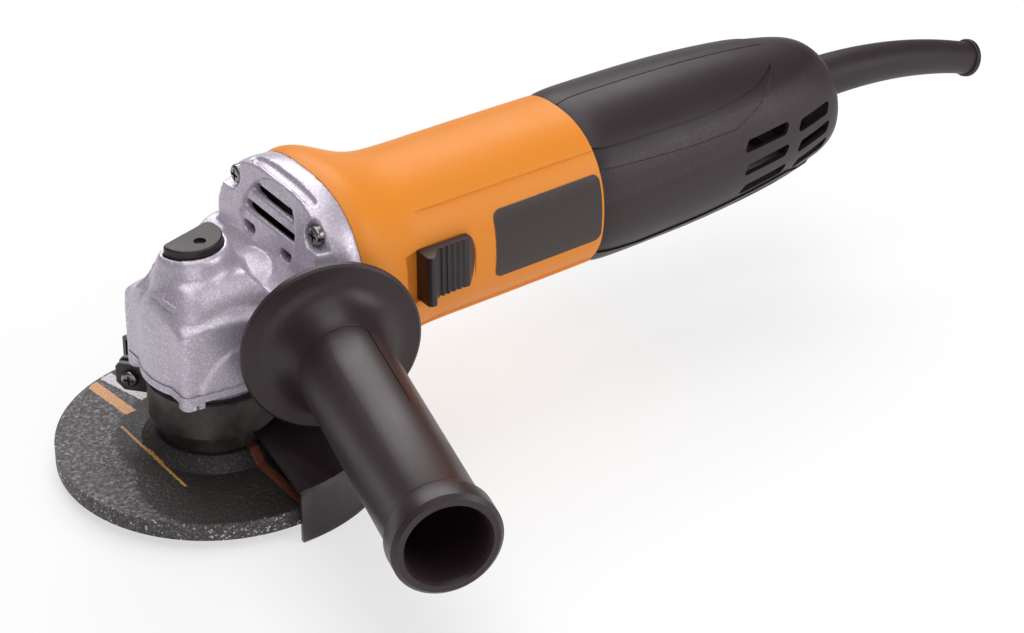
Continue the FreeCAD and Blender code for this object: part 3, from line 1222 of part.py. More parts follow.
def brush_holders():
    holder = holder_outline(0.0, COMMUTATOR_R + HOLDER_GAP, MOTOR_HALF_Z - MOTOR_WALL - SEAT_FIT)
    room = holder_outline(-HOLDER_WALL, 0, 60)
    holder = holder.cut(room)
    return Part.makeCompound([holder, about_axis(holder, 180)])


def carbon_brushes():
    brush = holder_outline(-HOLDER_WALL - SEAT_FIT, COMMUTATOR_R + 0.05, COMMUTATOR_R + BRUSH_L)
    face = cyl_x(COMMUTATOR_R + 0.05, 0, 200)
    brush = brush.cut(face)
    return Part.makeCompound([brush, about_axis(brush, 180)])


# --- Slide switch --------------------------------------------------------------------------------

def switch_knob():
    z_mid = AXIS_Z + KNOB_BASE_Z_ABOVE
    x1 = KNOB_X0 + KNOB_L
    floor = -MOTOR_HALF_Y + KNOB_TRACK_DEPTH - SLIDE_FIT
    top = -MOTOR_HALF_Y - KNOB_PROUD
    lip = top - KNOB_LIP_PROUD
    points = [
        (KNOB_X0, floor), (KNOB_X0, lip + 1.2), (KNOB_X0 + 1.2, lip), (KNOB_X0 + 3.0, lip),
        (KNOB_X0 + KNOB_LIP_W, top), (x1 - 5.0, top + 0.4), (x1, floor),
    ]
    outline = [Vector(x, y, z_mid - KNOB_H / 2) for x, y in points]
    body = polygon_face(outline).extrude(Vector(0, 0, KNOB_H))
    rear = cyl_y(KNOB_REAR_R, -60, 0, x1 - KNOB_REAR_R, z_mid)
    body = body.common(rear.fuse(block(KNOB_X0, x1 - KNOB_REAR_R, -60, 0, z_mid - 20, z_mid + 20)))
    for i in range(KNOB_RIBS):
        x = KNOB_X0 + KNOB_LIP_W + 1.0 + KNOB_RIB_STEP * i
        body = body.cut(block(x, x + KNOB_RIB_W, top - 2, top + KNOB_RIB_DEPTH, 0, 200))
    stem_x = KNOB_X0 + KNOB_L / 2
    stem = block(stem_x - STEM_W / 2, stem_x + STEM_W / 2, floor - 1, -ROD_Y - ROD_T / 2,
                 AXIS_Z - ROD_H / 2, AXIS_Z + ROD_H / 2)
    return body.fuse(stem)


def switch_rod():
    x0 = KNOB_X0 + KNOB_L / 2 - STEM_W
    tab_x = ROD_X1 - TAB_T
    bar = block(x0, ROD_X1, -ROD_Y - ROD_T / 2, -ROD_Y + ROD_T / 2, AXIS_Z - ROD_H / 2, AXIS_Z + ROD_H / 2)
    tab = block(tab_x, ROD_X1, -ROD_Y, -SWITCH_HALF_Y + SWITCH_SLOT_DEPTH - SLIDE_FIT,
                AXIS_Z - TAB_H / 2, AXIS_Z + TAB_H / 2)
    return bar.fuse(tab)


def switch_body():
    body = block(SWITCH_X0, SWITCH_X0 + SWITCH_L, -SWITCH_HALF_Y, SWITCH_HALF_Y,
                 AXIS_Z - SWITCH_HALF_Z, AXIS_Z + SWITCH_HALF_Z)
    body = body.makeFillet(1.0, [e for e in body.Edges if e.BoundBox.XLength > SWITCH_L - 1])
    slot = block(ROD_X1 - TAB_T - TRAVEL_FIT, ROD_X1 + SLIDE_FIT, -SWITCH_HALF_Y - 1,
                 -SWITCH_HALF_Y + SWITCH_SLOT_DEPTH, AXIS_Z - TAB_H / 2 - SLIDE_FIT, AXIS_Z + TAB_H / 2 + SLIDE_FIT)
    body = body.cut(slot)
    x1 = SWITCH_X0 + SWITCH_L
    terminals = [block(x1 - 1, x1 + 5, y - 0.4, y + 0.4, AXIS_Z + z - 2.4, AXIS_Z + z + 2.4)
                 for y, z in four_corners(5, 4.5)]
    return body.fuse(terminals)


def capacitor():
    x1 = CAPACITOR_X + CAPACITOR_L
    body = block(CAPACITOR_X, x1, -CAPACITOR_HALF_Y, CAPACITOR_HALF_Y,
                 AXIS_Z - CAPACITOR_HALF_Z, AXIS_Z + CAPACITOR_HALF_Z)
    return body.makeFillet(1.2, body.Edges)


# --- Rear handle ---------------------------------------------------------------------------------

def handle_skin(wall):
    wires = []
    for x, half_y, half_z in HANDLE_STATIONS:
        x = min(x, HANDLE_END_X - wall)
        wires.append(oval_wire(x, half_y - wall, half_z - wall, HANDLE_POWER))
    return skin(wires)


def flank_prism(line):
    """Prism through the handle along Y from a side outline of (x, height above the motor axis) points."""
    points = [Vector(x, -60, AXIS_Z + z) for x, z in line]
    return polygon_face(points).extrude(Vector(0, 120, 0))


def flank_cuts():
    """Sunk flank between its two creases, and the grip panel sunk a little deeper below the upper crease."""
    rear = [(HANDLE_END_X + 5, PANEL_TOP_LINE[-1][1] + 3), (HANDLE_END_X + 5, PANEL_LOW_LINE[0][1] - 3)]
    front = MOTOR_REAR_X - 1
    top = [(front, PANEL_TOP_LINE[0][1]), *PANEL_TOP_LINE[1:]]
    low = [*PANEL_LOW_LINE[:-1], (front, PANEL_LOW_LINE[-1][1])]
    flank = flank_prism([*top, *rear, *low]).cut(handle_skin(SIDE_PANEL_DEPTH))
    grip_low = [*GRIP_LOW_LINE[:-1], (front, GRIP_LOW_LINE[-1][1])]
    grip = flank_prism([*top[:-1], *grip_low]).cut(handle_skin(SIDE_PANEL_DEPTH + GRIP_DEPTH))
    return [flank, grip]


def slot_prism(x0, length, rise):
    """Slanted slot pointing out along -Y at the height of the motor axis."""
    slant = SLOT_H * 0.6
    points = [
        Vector(x0, -12, AXIS_Z - SLOT_H / 2), Vector(x0 + length - slant, -12, AXIS_Z - SLOT_H / 2),
        Vector(x0 + length, -12, AXIS_Z + SLOT_H / 2), Vector(x0 + slant, -12, AXIS_Z + SLOT_H / 2),
    ]
    body = polygon_face(points).extrude(Vector(0, -40, 0))
    edges = [e for e in body.Edges if e.BoundBox.YLength > 30]
    body = body.makeFillet(1.3, edges)
    body.rotate(Vector(x0 + length / 2, 0, AXIS_Z), Vector(0, 1, 0), -rise)
    return body


def handle_vents(side):
    slots = []
    for x0, length, rise in SLOT_COLUMNS:
        prism = slot_prism(x0, length, rise)
        for angle in SLOT_ANGLES:
            slots.append(about_axis(prism, -angle))
    return slots if side < 0 else [other_side(slot) for slot in slots]


def handle_shell(side):
    """One half of the rear handle; side is -1 for the left half at -Y, +1 for the right half."""
    half = block(0, 400, 0, 100, -50, 150) if side > 0 else block(0, 400, -100, 0, -50, 150)
    outside = handle_skin(0.0).common(half)
    x0 = MOTOR_REAR_X
    shell = outside.cut(handle_skin(HANDLE_WALL))
    lip = cyl_x(60, x0, x0 + HANDLE_LIP_T).cut(cyl_x(NECK_R + SEAT_FIT, 100, 300))
    rib_x = x0 + NECK_GROOVE_AT
    rib = cyl_x(60, rib_x + SEAT_FIT, rib_x + NECK_GROOVE_W - SEAT_FIT)
    rib = rib.cut(cyl_x(NECK_R - NECK_GROOVE + SEAT_FIT, 100, 300))
    end_wall = cyl_x(60, HANDLE_END_X - 2 * HANDLE_WALL - SLEEVE_FLANGE_T, HANDLE_END_X)
    pads = [block(SWITCH_X0 + 5, SWITCH_X0 + SWITCH_L - 5, SWITCH_HALF_Y, 60, AXIS_Z - 4, AXIS_Z + 4),
            block(CAPACITOR_X + 5, CAPACITOR_X + CAPACITOR_L - 5, CAPACITOR_HALF_Y, 60, AXIS_Z - 4, AXIS_Z + 4)]
    if side < 0:
        pads = [other_side(pad).common(block(SWITCH_X0 + 16, 400, -60, 60, 0, 200)) for pad in pads]
    bosses = [cyl_y(HANDLE_BOSS_R, -60, 60, x, AXIS_Z + z) for x, z in HANDLE_SCREWS]
    posts = [block(CLAMP_BAR_X, CLAMP_BAR_X + CLAMP_BAR_W, -60, 0, z - 3.5, z + 3.5)
             for z in (SLEEVE_Z - CLAMP_BAR_L / 2 + 3.5, SLEEVE_Z + CLAMP_BAR_L / 2 - 3.5)]
    posts = [post.cut(block(0, 400, -SLEEVE_BORE_R, 60, 0, 200)) for post in posts]
    fill = [piece.common(outside) for piece in (lip, rib, end_wall, *pads, *bosses, *posts)]
    cuts = [
        cyl_x(SLEEVE_R + SEAT_FIT, CLAMP_BAR_X, 300, 0, SLEEVE_Z),
        cyl_x(SLEEVE_FLANGE_R + SEAT_FIT, SLEEVE_X0, SLEEVE_X0 + SLEEVE_FLANGE_T, 0, SLEEVE_Z),
        block(x0 - 1, ROD_X1 + SLIDE_FIT, -ROD_Y - ROD_T / 2 - SLIDE_FIT, -ROD_Y + ROD_T / 2 + SLIDE_FIT,
              AXIS_Z - ROD_H / 2 - SLIDE_FIT, AXIS_Z + ROD_H / 2 + SLIDE_FIT),
        *flank_cuts(), *handle_vents(side),
        block(0, 400, -SEAM_W / 2, SEAM_W / 2, 0, 120).cut(handle_skin(SEAM_DEPTH)),
    ]
    for x, z in HANDLE_SCREWS:
        cuts.append(cyl_y(HANDLE_SCREW_R, HANDLE_SCREW_HEAD_Y - HANDLE_SCREW_L, 60, x, AXIS_Z + z))
        cuts.append(cyl_y(HANDLE_SCREW_HEAD_R + SLIDE_FIT, HANDLE_SCREW_HEAD_Y, 60, x, AXIS_Z + z))
    return cut_away(joined(shell, fill), cuts)


def handle_screws():
    screws = []
    y1 = HANDLE_SCREW_HEAD_Y + HANDLE_SCREW_HEAD_H
    for x, dz in HANDLE_SCREWS:
        z = AXIS_Z + dz
        head = cyl_y(HANDLE_SCREW_HEAD_R, HANDLE_SCREW_HEAD_Y, y1, x, z)
        shank = cyl_y(HANDLE_SCREW_R - SEAT_FIT, HANDLE_SCREW_HEAD_Y - HANDLE_SCREW_L + 1, HANDLE_SCREW_HEAD_Y, x, z)
        slot = block(x - 2.2, x + 2.2, y1 - 1, y1, z - 0.5, z + 0.5)
        cross = block(x - 0.5, x + 0.5, y1 - 1, y1, z - 2.2, z + 2.2)
        screws.append(head.fuse(shank).cut([slot, cross]))
    return Part.makeCompound(screws)


def cord_clamp():
    y0 = -SLEEVE_BORE_R
    z0 = SLEEVE_Z - CLAMP_BAR_L / 2
    bar = block(CLAMP_BAR_X, CLAMP_BAR_X + CLAMP_BAR_W, y0, y0 + CLAMP_BAR_T, z0, z0 + CLAMP_BAR_L)
    ridge = cyl_x(2.0, CLAMP_BAR_X, CLAMP_BAR_X + CLAMP_BAR_W, y0 + CLAMP_BAR_T, SLEEVE_Z)
    return bar.fuse(ridge.common(block(0, 400, -60, 60, z0, z0 + CLAMP_BAR_L)))


def sleeve_centre(angle):
    """Point and direction of the sleeve's centre line, at an angle along its bend."""
    a = math.radians(angle)
    x = SLEEVE_STRAIGHT_X + SLEEVE_BEND_R * math.sin(a)
    z = SLEEVE_Z - SLEEVE_BEND_R * (1 - math.cos(a))
    return Vector(x, 0, z), Vector(math.cos(a), 0, -math.sin(a))


def cord_guard():
    """Bending sleeve that guards the cord where it leaves the handle."""
    steps = 6
    rings, bores = [], []
    for i in range(steps + 1):
        centre, direction = sleeve_centre(SLEEVE_BEND_ANGLE * i / steps)
        r = SLEEVE_R + (SLEEVE_END_R - SLEEVE_R) * i / steps
        rings.append(circle_wire(centre, direction, r))
        bores.append(circle_wire(centre, direction, SLEEVE_BORE_R))
    straight = cyl_x(SLEEVE_R, SLEEVE_X0 - SLEEVE_TAIL, SLEEVE_STRAIGHT_X, 0, SLEEVE_Z)
    sleeve = skin(rings)
    flange = cyl_x(SLEEVE_FLANGE_R, SLEEVE_X0, SLEEVE_X0 + SLEEVE_FLANGE_T, 0, SLEEVE_Z)
    bend_end, direction = sleeve_centre(SLEEVE_BEND_ANGLE)
    mouth = bend_end + direction * SLEEVE_END_L
    end = Part.makeCylinder(SLEEVE_END_R, SLEEVE_END_L, bend_end, direction)
    lip = Part.makeCylinder(SLEEVE_LIP_R, SLEEVE_LIP_L, mouth - direction * SLEEVE_LIP_L, direction)
    lip = lip.makeFillet(0.8, [e for e in lip.Edges if len(e.Vertexes) == 1])
    end_bore = Part.makeCylinder(SLEEVE_BORE_R, SLEEVE_END_L + 1, bend_end, direction)
    straight_bore = cyl_x(SLEEVE_BORE_R, SLEEVE_X0 - SLEEVE_TAIL - 1, SLEEVE_STRAIGHT_X, 0, SLEEVE_Z)
    return cut_away(joined(sleeve, [straight, flange, end, lip]), [straight_bore, skin(bores), end_bore])


# --- Side handle ---------------------------------------------------------------------------------

def handle_stud():
    stud = Part.makeCylinder(SIDE_HOLE_R - SEAT_FIT, SIDE_HOLE_L - 1 + STUD_IN_HANDLE,
                             Vector(0, 0, 1 - SIDE_HOLE_L))
    head = hexagon(STUD_HEAD_R, STUD_HEAD_T)
    head.translate(Vector(0, 0, STUD_IN_HANDLE - STUD_HEAD_T))
    return on_side_boss(stud.fuse(head))


def side_handle():
    rim0 = SIDE_RIM_AT - SIDE_RIM_T / 2
    rim1 = SIDE_RIM_AT + SIDE_RIM_T / 2
    curve = Part.BSplineCurve()
    base = Vector(SIDE_RIM_R - 5, 0, rim1)
    shoulder = Vector(SIDE_GRIP_R, 0, rim1 + 18)
    curve.interpolate([base, Vector(SIDE_GRIP_R + 6.0, 0, rim1 + 1.6), Vector(SIDE_GRIP_R + 1.6, 0, rim1 + 7.0),
                       shoulder])
    lip0 = SIDE_LENGTH - SIDE_LIP_L
    outline = [
        Vector(SIDE_GRIP_R, 0, lip0 - 4), Vector(SIDE_LIP_R, 0, lip0), Vector(SIDE_LIP_R, 0, SIDE_LENGTH - 1.5),
        Vector(SIDE_LIP_R - 1.5, 0, SIDE_LENGTH), Vector(SIDE_BORE_R + 1, 0, SIDE_LENGTH),
        Vector(SIDE_BORE_R, 0, SIDE_LENGTH - 2), Vector(SIDE_BORE_R - 0.8, 0, SIDE_CORE_L),
        Vector(0, 0, SIDE_CORE_L), Vector(0, 0, 0), Vector(SIDE_HUB_R, 0, 0),
        Vector(SIDE_HUB_R + 1, 0, rim0 - 2.4), Vector(SIDE_RIM_R - 3, 0, rim0 - 0.6),
        Vector(SIDE_RIM_R - 0.8, 0, rim0), Vector(SIDE_RIM_R, 0, rim0 + 0.8), Vector(SIDE_RIM_R, 0, rim1 - 0.8),
        Vector(SIDE_RIM_R - 0.8, 0, rim1),
    ]
    lines = Part.makePolygon([shoulder, *outline, base])
    face = Part.Face(Part.Wire([curve.toShape(), *lines.Edges]))
    grip = face.revolve(Vector(0, 0, 0), Vector(0, 0, 1), 360)
    panel = block(-SIDE_PANEL_HALF, SIDE_PANEL_HALF, 0, 60, SIDE_PANEL_FROM, SIDE_PANEL_TO)
    panel = panel.makeFillet(2.5, [e for e in panel.Edges if e.BoundBox.YLength > 50])
    panel = panel.cut(cyl_z(SIDE_GRIP_R - SIDE_PANEL_CUT, 0, SIDE_LENGTH))
    return on_side_boss(grip.cut(panel)).cut(handle_stud())


PARTS = {
    "grinding_disc": grinding_disc,
    "inner_flange": inner_flange,
    "lock_nut": lock_nut,
    "spindle": spindle,
    "bevel_gear": bevel_gear,
    "pinion": pinion,
    "gear_housing": gear_housing,
    "bearing_box": bearing_box,
    "box_screws": box_screws,
    "head_screws": head_screws,
    "bearing_retainer": bearing_retainer,
    "spindle_bearing": spindle_bearing,
    "needle_bearing": needle_bearing,
    "lock_button": lock_button,
    "lock_pin": lock_pin,
    "lock_spring": lock_spring,
    "guard": guard,
    "guard_clamp": guard_clamp,
    "clamp_screw": clamp_screw,
    "clamp_nut": clamp_nut,
    "motor_housing": motor_housing,
    "label_plate": label_plate,
    "air_baffle": air_baffle,
    "armature_shaft": armature_shaft,
    "armature_core": armature_core,
    "armature_windings": armature_windings,
    "commutator": commutator,
    "fan": fan,
    "front_bearing": front_bearing,
    "rear_bearing": rear_bearing,
    "stator_core": stator_core,
    "field_coils": field_coils,
    "brush_holders": brush_holders,
    "carbon_brushes": carbon_brushes,
    "switch_knob": switch_knob,
    "switch_rod": switch_rod,
    "switch_body": switch_body,
    "capacitor": capacitor,
    "handle_left": lambda: handle_shell(-1),
    "handle_right": lambda: handle_shell(1),
    "handle_screws": handle_screws,
    "cord_clamp": cord_clamp,
    "cord_guard": cord_guard,
    "side_handle": side_handle,
    "handle_stud": handle_stud,
}


def main():
    os.makedirs("parts", exist_ok=True)
    for name, make in PARTS.items():
        shape = make()
        shape.exportStep(f"parts/{name}.step")
        print(name, len(shape.Solids), "solids", "valid" if shape.isValid() else "not valid")


main()
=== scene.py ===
import json
import math

import bmesh
import bpy
from mathutils import Matrix, Vector

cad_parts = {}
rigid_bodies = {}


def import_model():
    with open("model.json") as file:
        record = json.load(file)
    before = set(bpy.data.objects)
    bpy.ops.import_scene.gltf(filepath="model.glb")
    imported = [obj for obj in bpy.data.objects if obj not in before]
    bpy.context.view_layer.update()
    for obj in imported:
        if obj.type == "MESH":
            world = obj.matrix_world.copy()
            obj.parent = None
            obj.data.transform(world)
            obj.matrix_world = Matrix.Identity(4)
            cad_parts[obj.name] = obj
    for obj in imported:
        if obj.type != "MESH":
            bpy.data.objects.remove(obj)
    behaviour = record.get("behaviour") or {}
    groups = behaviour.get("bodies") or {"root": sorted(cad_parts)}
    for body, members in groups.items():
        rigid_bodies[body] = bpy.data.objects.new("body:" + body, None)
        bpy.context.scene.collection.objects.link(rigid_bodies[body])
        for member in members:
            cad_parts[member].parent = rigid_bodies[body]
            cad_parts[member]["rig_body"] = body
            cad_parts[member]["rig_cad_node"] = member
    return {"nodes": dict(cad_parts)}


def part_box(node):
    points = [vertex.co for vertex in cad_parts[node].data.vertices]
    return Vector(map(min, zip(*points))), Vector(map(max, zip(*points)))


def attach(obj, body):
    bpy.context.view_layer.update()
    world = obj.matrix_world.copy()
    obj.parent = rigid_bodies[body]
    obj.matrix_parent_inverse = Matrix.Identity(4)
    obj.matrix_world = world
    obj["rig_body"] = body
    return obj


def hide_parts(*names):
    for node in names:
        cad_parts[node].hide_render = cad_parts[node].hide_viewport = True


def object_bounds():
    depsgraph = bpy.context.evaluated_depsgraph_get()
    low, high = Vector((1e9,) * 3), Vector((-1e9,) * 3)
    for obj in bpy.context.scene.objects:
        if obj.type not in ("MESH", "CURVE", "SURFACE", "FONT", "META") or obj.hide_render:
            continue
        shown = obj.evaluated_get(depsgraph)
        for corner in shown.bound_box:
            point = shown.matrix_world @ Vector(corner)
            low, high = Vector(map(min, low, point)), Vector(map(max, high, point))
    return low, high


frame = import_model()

cad_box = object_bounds()
MM = 0.001
MOTOR_AXIS = (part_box("armature_shaft")[0].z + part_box("armature_shaft")[1].z) / 2


# --- Node helpers --------------------------------------------------------------------------------

def new_material(name):
    """A material with its node tree, its surface shader and the piece's own coordinates."""
    material = bpy.data.materials.new(name)
    material.use_nodes = True
    tree = material.node_tree
    shader = tree.nodes["Principled BSDF"]
    place = tree.nodes.new("ShaderNodeTexCoord").outputs["Object"]
    return material, tree, shader, place


def put(tree, socket, value):
    """Links a node's output to the socket, or sets a plain value on it."""
    if isinstance(value, bpy.types.NodeSocket):
        tree.links.new(value, socket)
    else:
        socket.default_value = value


def add(tree, kind, out=0, settings=(), **inputs):
    """Adds a node, fills its inputs by name or number and returns one of its outputs."""
    node = tree.nodes.new("ShaderNode" + kind)
    for key, value in dict(settings).items():
        setattr(node, key, value)
    for key, value in inputs.items():
        numbered = key[0] == "i" and key[1:].isdigit()
        put(tree, node.inputs[int(key[1:]) if numbered else key.replace("_", " ")], value)
    return node.outputs[out]


def split(tree, vector):
    """The vector's x, y and z."""
    node = tree.nodes.new("ShaderNodeSeparateXYZ")
    tree.links.new(vector, node.inputs[0])
    return node.outputs


def noise(tree, place, scale, detail=4.0, rough=0.55):
    return add(tree, "TexNoise", 0, Vector=place, Scale=scale, Detail=detail, Roughness=rough)


def cells(tree, place, scale):
    """A different grey for each small cell."""
    colours = add(tree, "TexVoronoi", 1, Vector=place, Scale=scale)
    return add(tree, "SeparateColor", 0, Color=colours)


def ramp(tree, value, stops):
    """Colour ramp from (position, grey or colour) stops."""
    node = tree.nodes.new("ShaderNodeValToRGB")
    put(tree, node.inputs[0], value)
    points = node.color_ramp.elements
    while len(points) < len(stops):
        points.new(0.5)
    for point, (position, colour) in zip(points, stops):
        point.position = position
        point.color = (*([colour] * 3 if isinstance(colour, (int, float)) else colour), 1)
    return node.outputs[0]


def blend(tree, share, low, high):
    """Colour between low, where the share is nought, and high, where it is one."""
    node = tree.nodes.new("ShaderNodeMix")
    node.data_type = "RGBA"
    put(tree, node.inputs[0], share)
    for socket, value in ((node.inputs[6], low), (node.inputs[7], high)):
        put(tree, socket, value if isinstance(value, bpy.types.NodeSocket) else (*value, 1))
    return node.outputs[2]


def maths(tree, operation, a, b=0.0):
    return add(tree, "Math", 0, {"operation": operation}, i0=a, i1=b)


def times(tree, a, b):
    return maths(tree, "MULTIPLY", a, b)


def less(tree, a, b):
    return maths(tree, "SUBTRACT", a, b)


def bump(tree, shader, height, strength, distance, base=None):
    """Relief on the shader's surface, over the base relief where there is one."""
    node = tree.nodes.new("ShaderNodeBump")
    node.inputs["Strength"].default_value = strength
    node.inputs["Distance"].default_value = distance
    tree.links.new(height, node.inputs["Height"])
    if base is not None:
        tree.links.new(base, node.inputs["Normal"])
    tree.links.new(node.outputs[0], shader.inputs["Normal"])
    return node.outputs[0]


# --- Materials -----------------------------------------------------------------------------------

def silver_paint():
    """Aluminium paint on a die casting: fine flakes over a slightly uneven skin."""
    material, tree, shader, place = new_material("silver_cast_paint")
    flakes = cells(tree, place, 2100.0)
    cloud = noise(tree, place, 55.0)
    grain = ramp(tree, flakes, [(0.0, (0.47, 0.42, 0.505)), (0.4, (0.55, 0.495, 0.585)),
                                (0.85, (0.63, 0.575, 0.665)), (1.0, (0.76, 0.71, 0.79))])
    colour = blend(tree, times(tree, cloud, 0.2), grain, (0.52, 0.47, 0.55))
    put(tree, shader.inputs["Base Color"], colour)
    shader.inputs["Metallic"].default_value = 0.4
    put(tree, shader.inputs["Roughness"], ramp(tree, flakes, [(0.0, 0.42), (1.0, 0.32)]))
    skin = noise(tree, place, 1300.0, 2.0)
    first = bump(tree, shader, skin, 0.12, 0.0001)
    bump(tree, shader, cloud, 0.08, 0.0004, first)
    return material


def moulded_plastic(name, colour, light, rough, grain_scale=1500.0, grain=0.3, level=0.4):
    """Moulded nylon with a fine spark-eroded grain."""
    material, tree, shader, place = new_material(name)
    fine = noise(tree, place, grain_scale, 3.0, 0.6)
    cloud = noise(tree, place, 35.0, 3.0)
    tint = blend(tree, ramp(tree, fine, [(0.35, 0.0), (0.75, 1.0)]), colour, light)
    put(tree, shader.inputs["Base Color"], blend(tree, times(tree, cloud, 0.18), tint, colour))
    gloss = ramp(tree, cloud, [(0.25, rough - 0.05), (0.75, rough + 0.05)])
    put(tree, shader.inputs["Roughness"], gloss)
    shader.inputs["Specular IOR Level"].default_value = level
    bump(tree, shader, fine, grain, 0.0001)
    return material


GRIP_START = 0.163          # where the handle meets the motor housing
GRIP_RISE = 0.011           # middle of the coarse band there, above the motor's axis
GRIP_SLOPE = 0.03           # how fast the band climbs towards the sleeve
GRIP_HALF = 0.0075          # half of the band's height


def handle_nylon():
    """Black nylon of the rear handle. Its flanks carry a coarser grain where the hand lies."""
    material, tree, shader, place = new_material("handle_nylon")
    fine = noise(tree, place, 1500.0, 3.0, 0.6)
    coarse = add(tree, "TexVoronoi", 0, Vector=place, Scale=950.0)
    cloud = noise(tree, place, 30.0, 3.0)
    x, _, z = split(tree, place)
    rise = less(tree, less(tree, z, MOTOR_AXIS), GRIP_RISE)
    climb = times(tree, less(tree, x, GRIP_START), GRIP_SLOPE)
    off = maths(tree, "ABSOLUTE", less(tree, rise, climb))
    band = ramp(tree, times(tree, off, 1 / GRIP_HALF), [(0.8, 1.0), (1.0, 0.0)])
    grains = ramp(tree, coarse, [(0.1, 0.0), (0.55, 1.0)])
    rough = blend(tree, band, (0.0, 0.0, 0.0), grains)
    tint = blend(tree, rough, (0.024, 0.0135, 0.0155), (0.04, 0.0255, 0.029))
    colour = blend(tree, times(tree, cloud, 0.3), tint, (0.028, 0.0165, 0.019))
    put(tree, shader.inputs["Base Color"], colour)
    put(tree, shader.inputs["Roughness"], ramp(tree, cloud, [(0.3, 0.42), (0.7, 0.5)]))
    shader.inputs["Specular IOR Level"].default_value = 0.42
    first = bump(tree, shader, fine, 0.25, 0.0001)
    bump(tree, shader, rough, 0.35, 0.00015, first)
    return material


def steel(name, colour, rough, turned=True):
    """Ground or turned metal, with fine rings round the spindle or plain streaks."""
    material, tree, shader, place = new_material(name)
    stretch = (60.0, 60.0, 2600.0) if turned else (2600.0, 60.0, 60.0)
    streaks = noise(tree, add(tree, "Mapping", 0, Vector=place, Scale=stretch), 1.0, 4.0)
    dull = tuple(c * 0.72 for c in colour)
    put(tree, shader.inputs["Base Color"], blend(tree, streaks, dull, colour))
    shader.inputs["Metallic"].default_value = 1.0
    gloss = ramp(tree, streaks, [(0.2, rough - 0.08), (0.8, rough + 0.12)])
    put(tree, shader.inputs["Roughness"], gloss)
    bump(tree, shader, streaks, 0.15, 0.00005)
    return material


def dark_paint(name, colour, rough):
    """Thin dark paint on sheet steel, lighter along its sharp edges: partly wear, partly a painted
    highlight.
    """
    material, tree, shader, place = new_material(name)
    peel = noise(tree, place, 700.0, 3.0)
    cloud = noise(tree, place, 45.0)
    # Sharp edges turn lighter in patches: a painted edge highlight as well as wear.
    edge = ramp(tree, add(tree, "NewGeometry", "Pointiness"), [(0.52, 0.0), (0.6, 1.0)])
    wear_and_highlight = times(tree, edge, ramp(tree, cloud, [(0.4, 0.0), (0.7, 0.5)]))
    tint = blend(tree, times(tree, cloud, 0.3), colour, tuple(c * 1.5 for c in colour))
    put(tree, shader.inputs["Base Color"], blend(tree, wear_and_highlight, tint, (0.2, 0.18, 0.17)))
    gloss = ramp(tree, cloud, [(0.3, rough - 0.05), (0.7, rough + 0.08)])
    put(tree, shader.inputs["Roughness"], gloss)
    bump(tree, shader, peel, 0.12, 0.0001)
    return material


def rubber():
    """Soft black rubber of the bending sleeve."""
    material, tree, shader, place = new_material("moulded_rubber")
    fine = noise(tree, place, 1400.0, 3.0)
    cloud = noise(tree, place, 50.0)
    colour = blend(tree, cloud, (0.02, 0.012, 0.014), (0.032, 0.0215, 0.024))
    put(tree, shader.inputs["Base Color"], colour)
    put(tree, shader.inputs["Roughness"], ramp(tree, cloud, [(0.3, 0.46), (0.7, 0.56)]))
    shader.inputs["Specular IOR Level"].default_value = 0.4
    bump(tree, shader, fine, 0.15, 0.0001)
    return material


PAINTED_SHADE_WAY = (-0.342, -0.94, 0.0)    # the side to which the disc's dark field reaches further out: past the round printed middle, that reach is painted shade
# Plain bars on the disc: middle, turn, half width, where they start and end along it, colour
BARS = (
    ((-0.0119, 0.0452), 14.6, 0.0026, -0.0115, 0.0175, (0.72, 0.7, 0.73)),
    ((-0.0199, 0.0405), 6.0, 0.0023, -0.012, 0.0185, (0.75, 0.38, 0.17)),
    ((-0.0259, 0.0), 0.0, 0.0005, -0.0232, 0.0228, (0.55, 0.3, 0.07)),
    ((0.0029, -0.034), 0.0, 0.0019, -0.0225, 0.0185, (0.2, 0.055, 0.03)),
)


def stripe(tree, place, middle, turn, half_width, from_y, to_y):
    """One inside the flat bar that runs from from_y to to_y, with slightly frayed edges."""
    frayed = noise(tree, place, 900.0, 3.0)
    local = add(tree, "Mapping", 0, {"vector_type": "TEXTURE"}, Vector=place,
                Location=(*middle, 0.0), Rotation=(0.0, 0.0, math.radians(turn)))
    x, y, _ = split(tree, local)
    wobble = times(tree, less(tree, frayed, 0.5), 0.0012)
    across = maths(tree, "ADD", maths(tree, "ABSOLUTE", x), wobble)
    along = maths(tree, "ADD", y, wobble)
    inside = maths(tree, "LESS_THAN", across, half_width)
    start = maths(tree, "GREATER_THAN", along, from_y)
    end = maths(tree, "LESS_THAN", along, to_y)
    return times(tree, inside, times(tree, start, end))


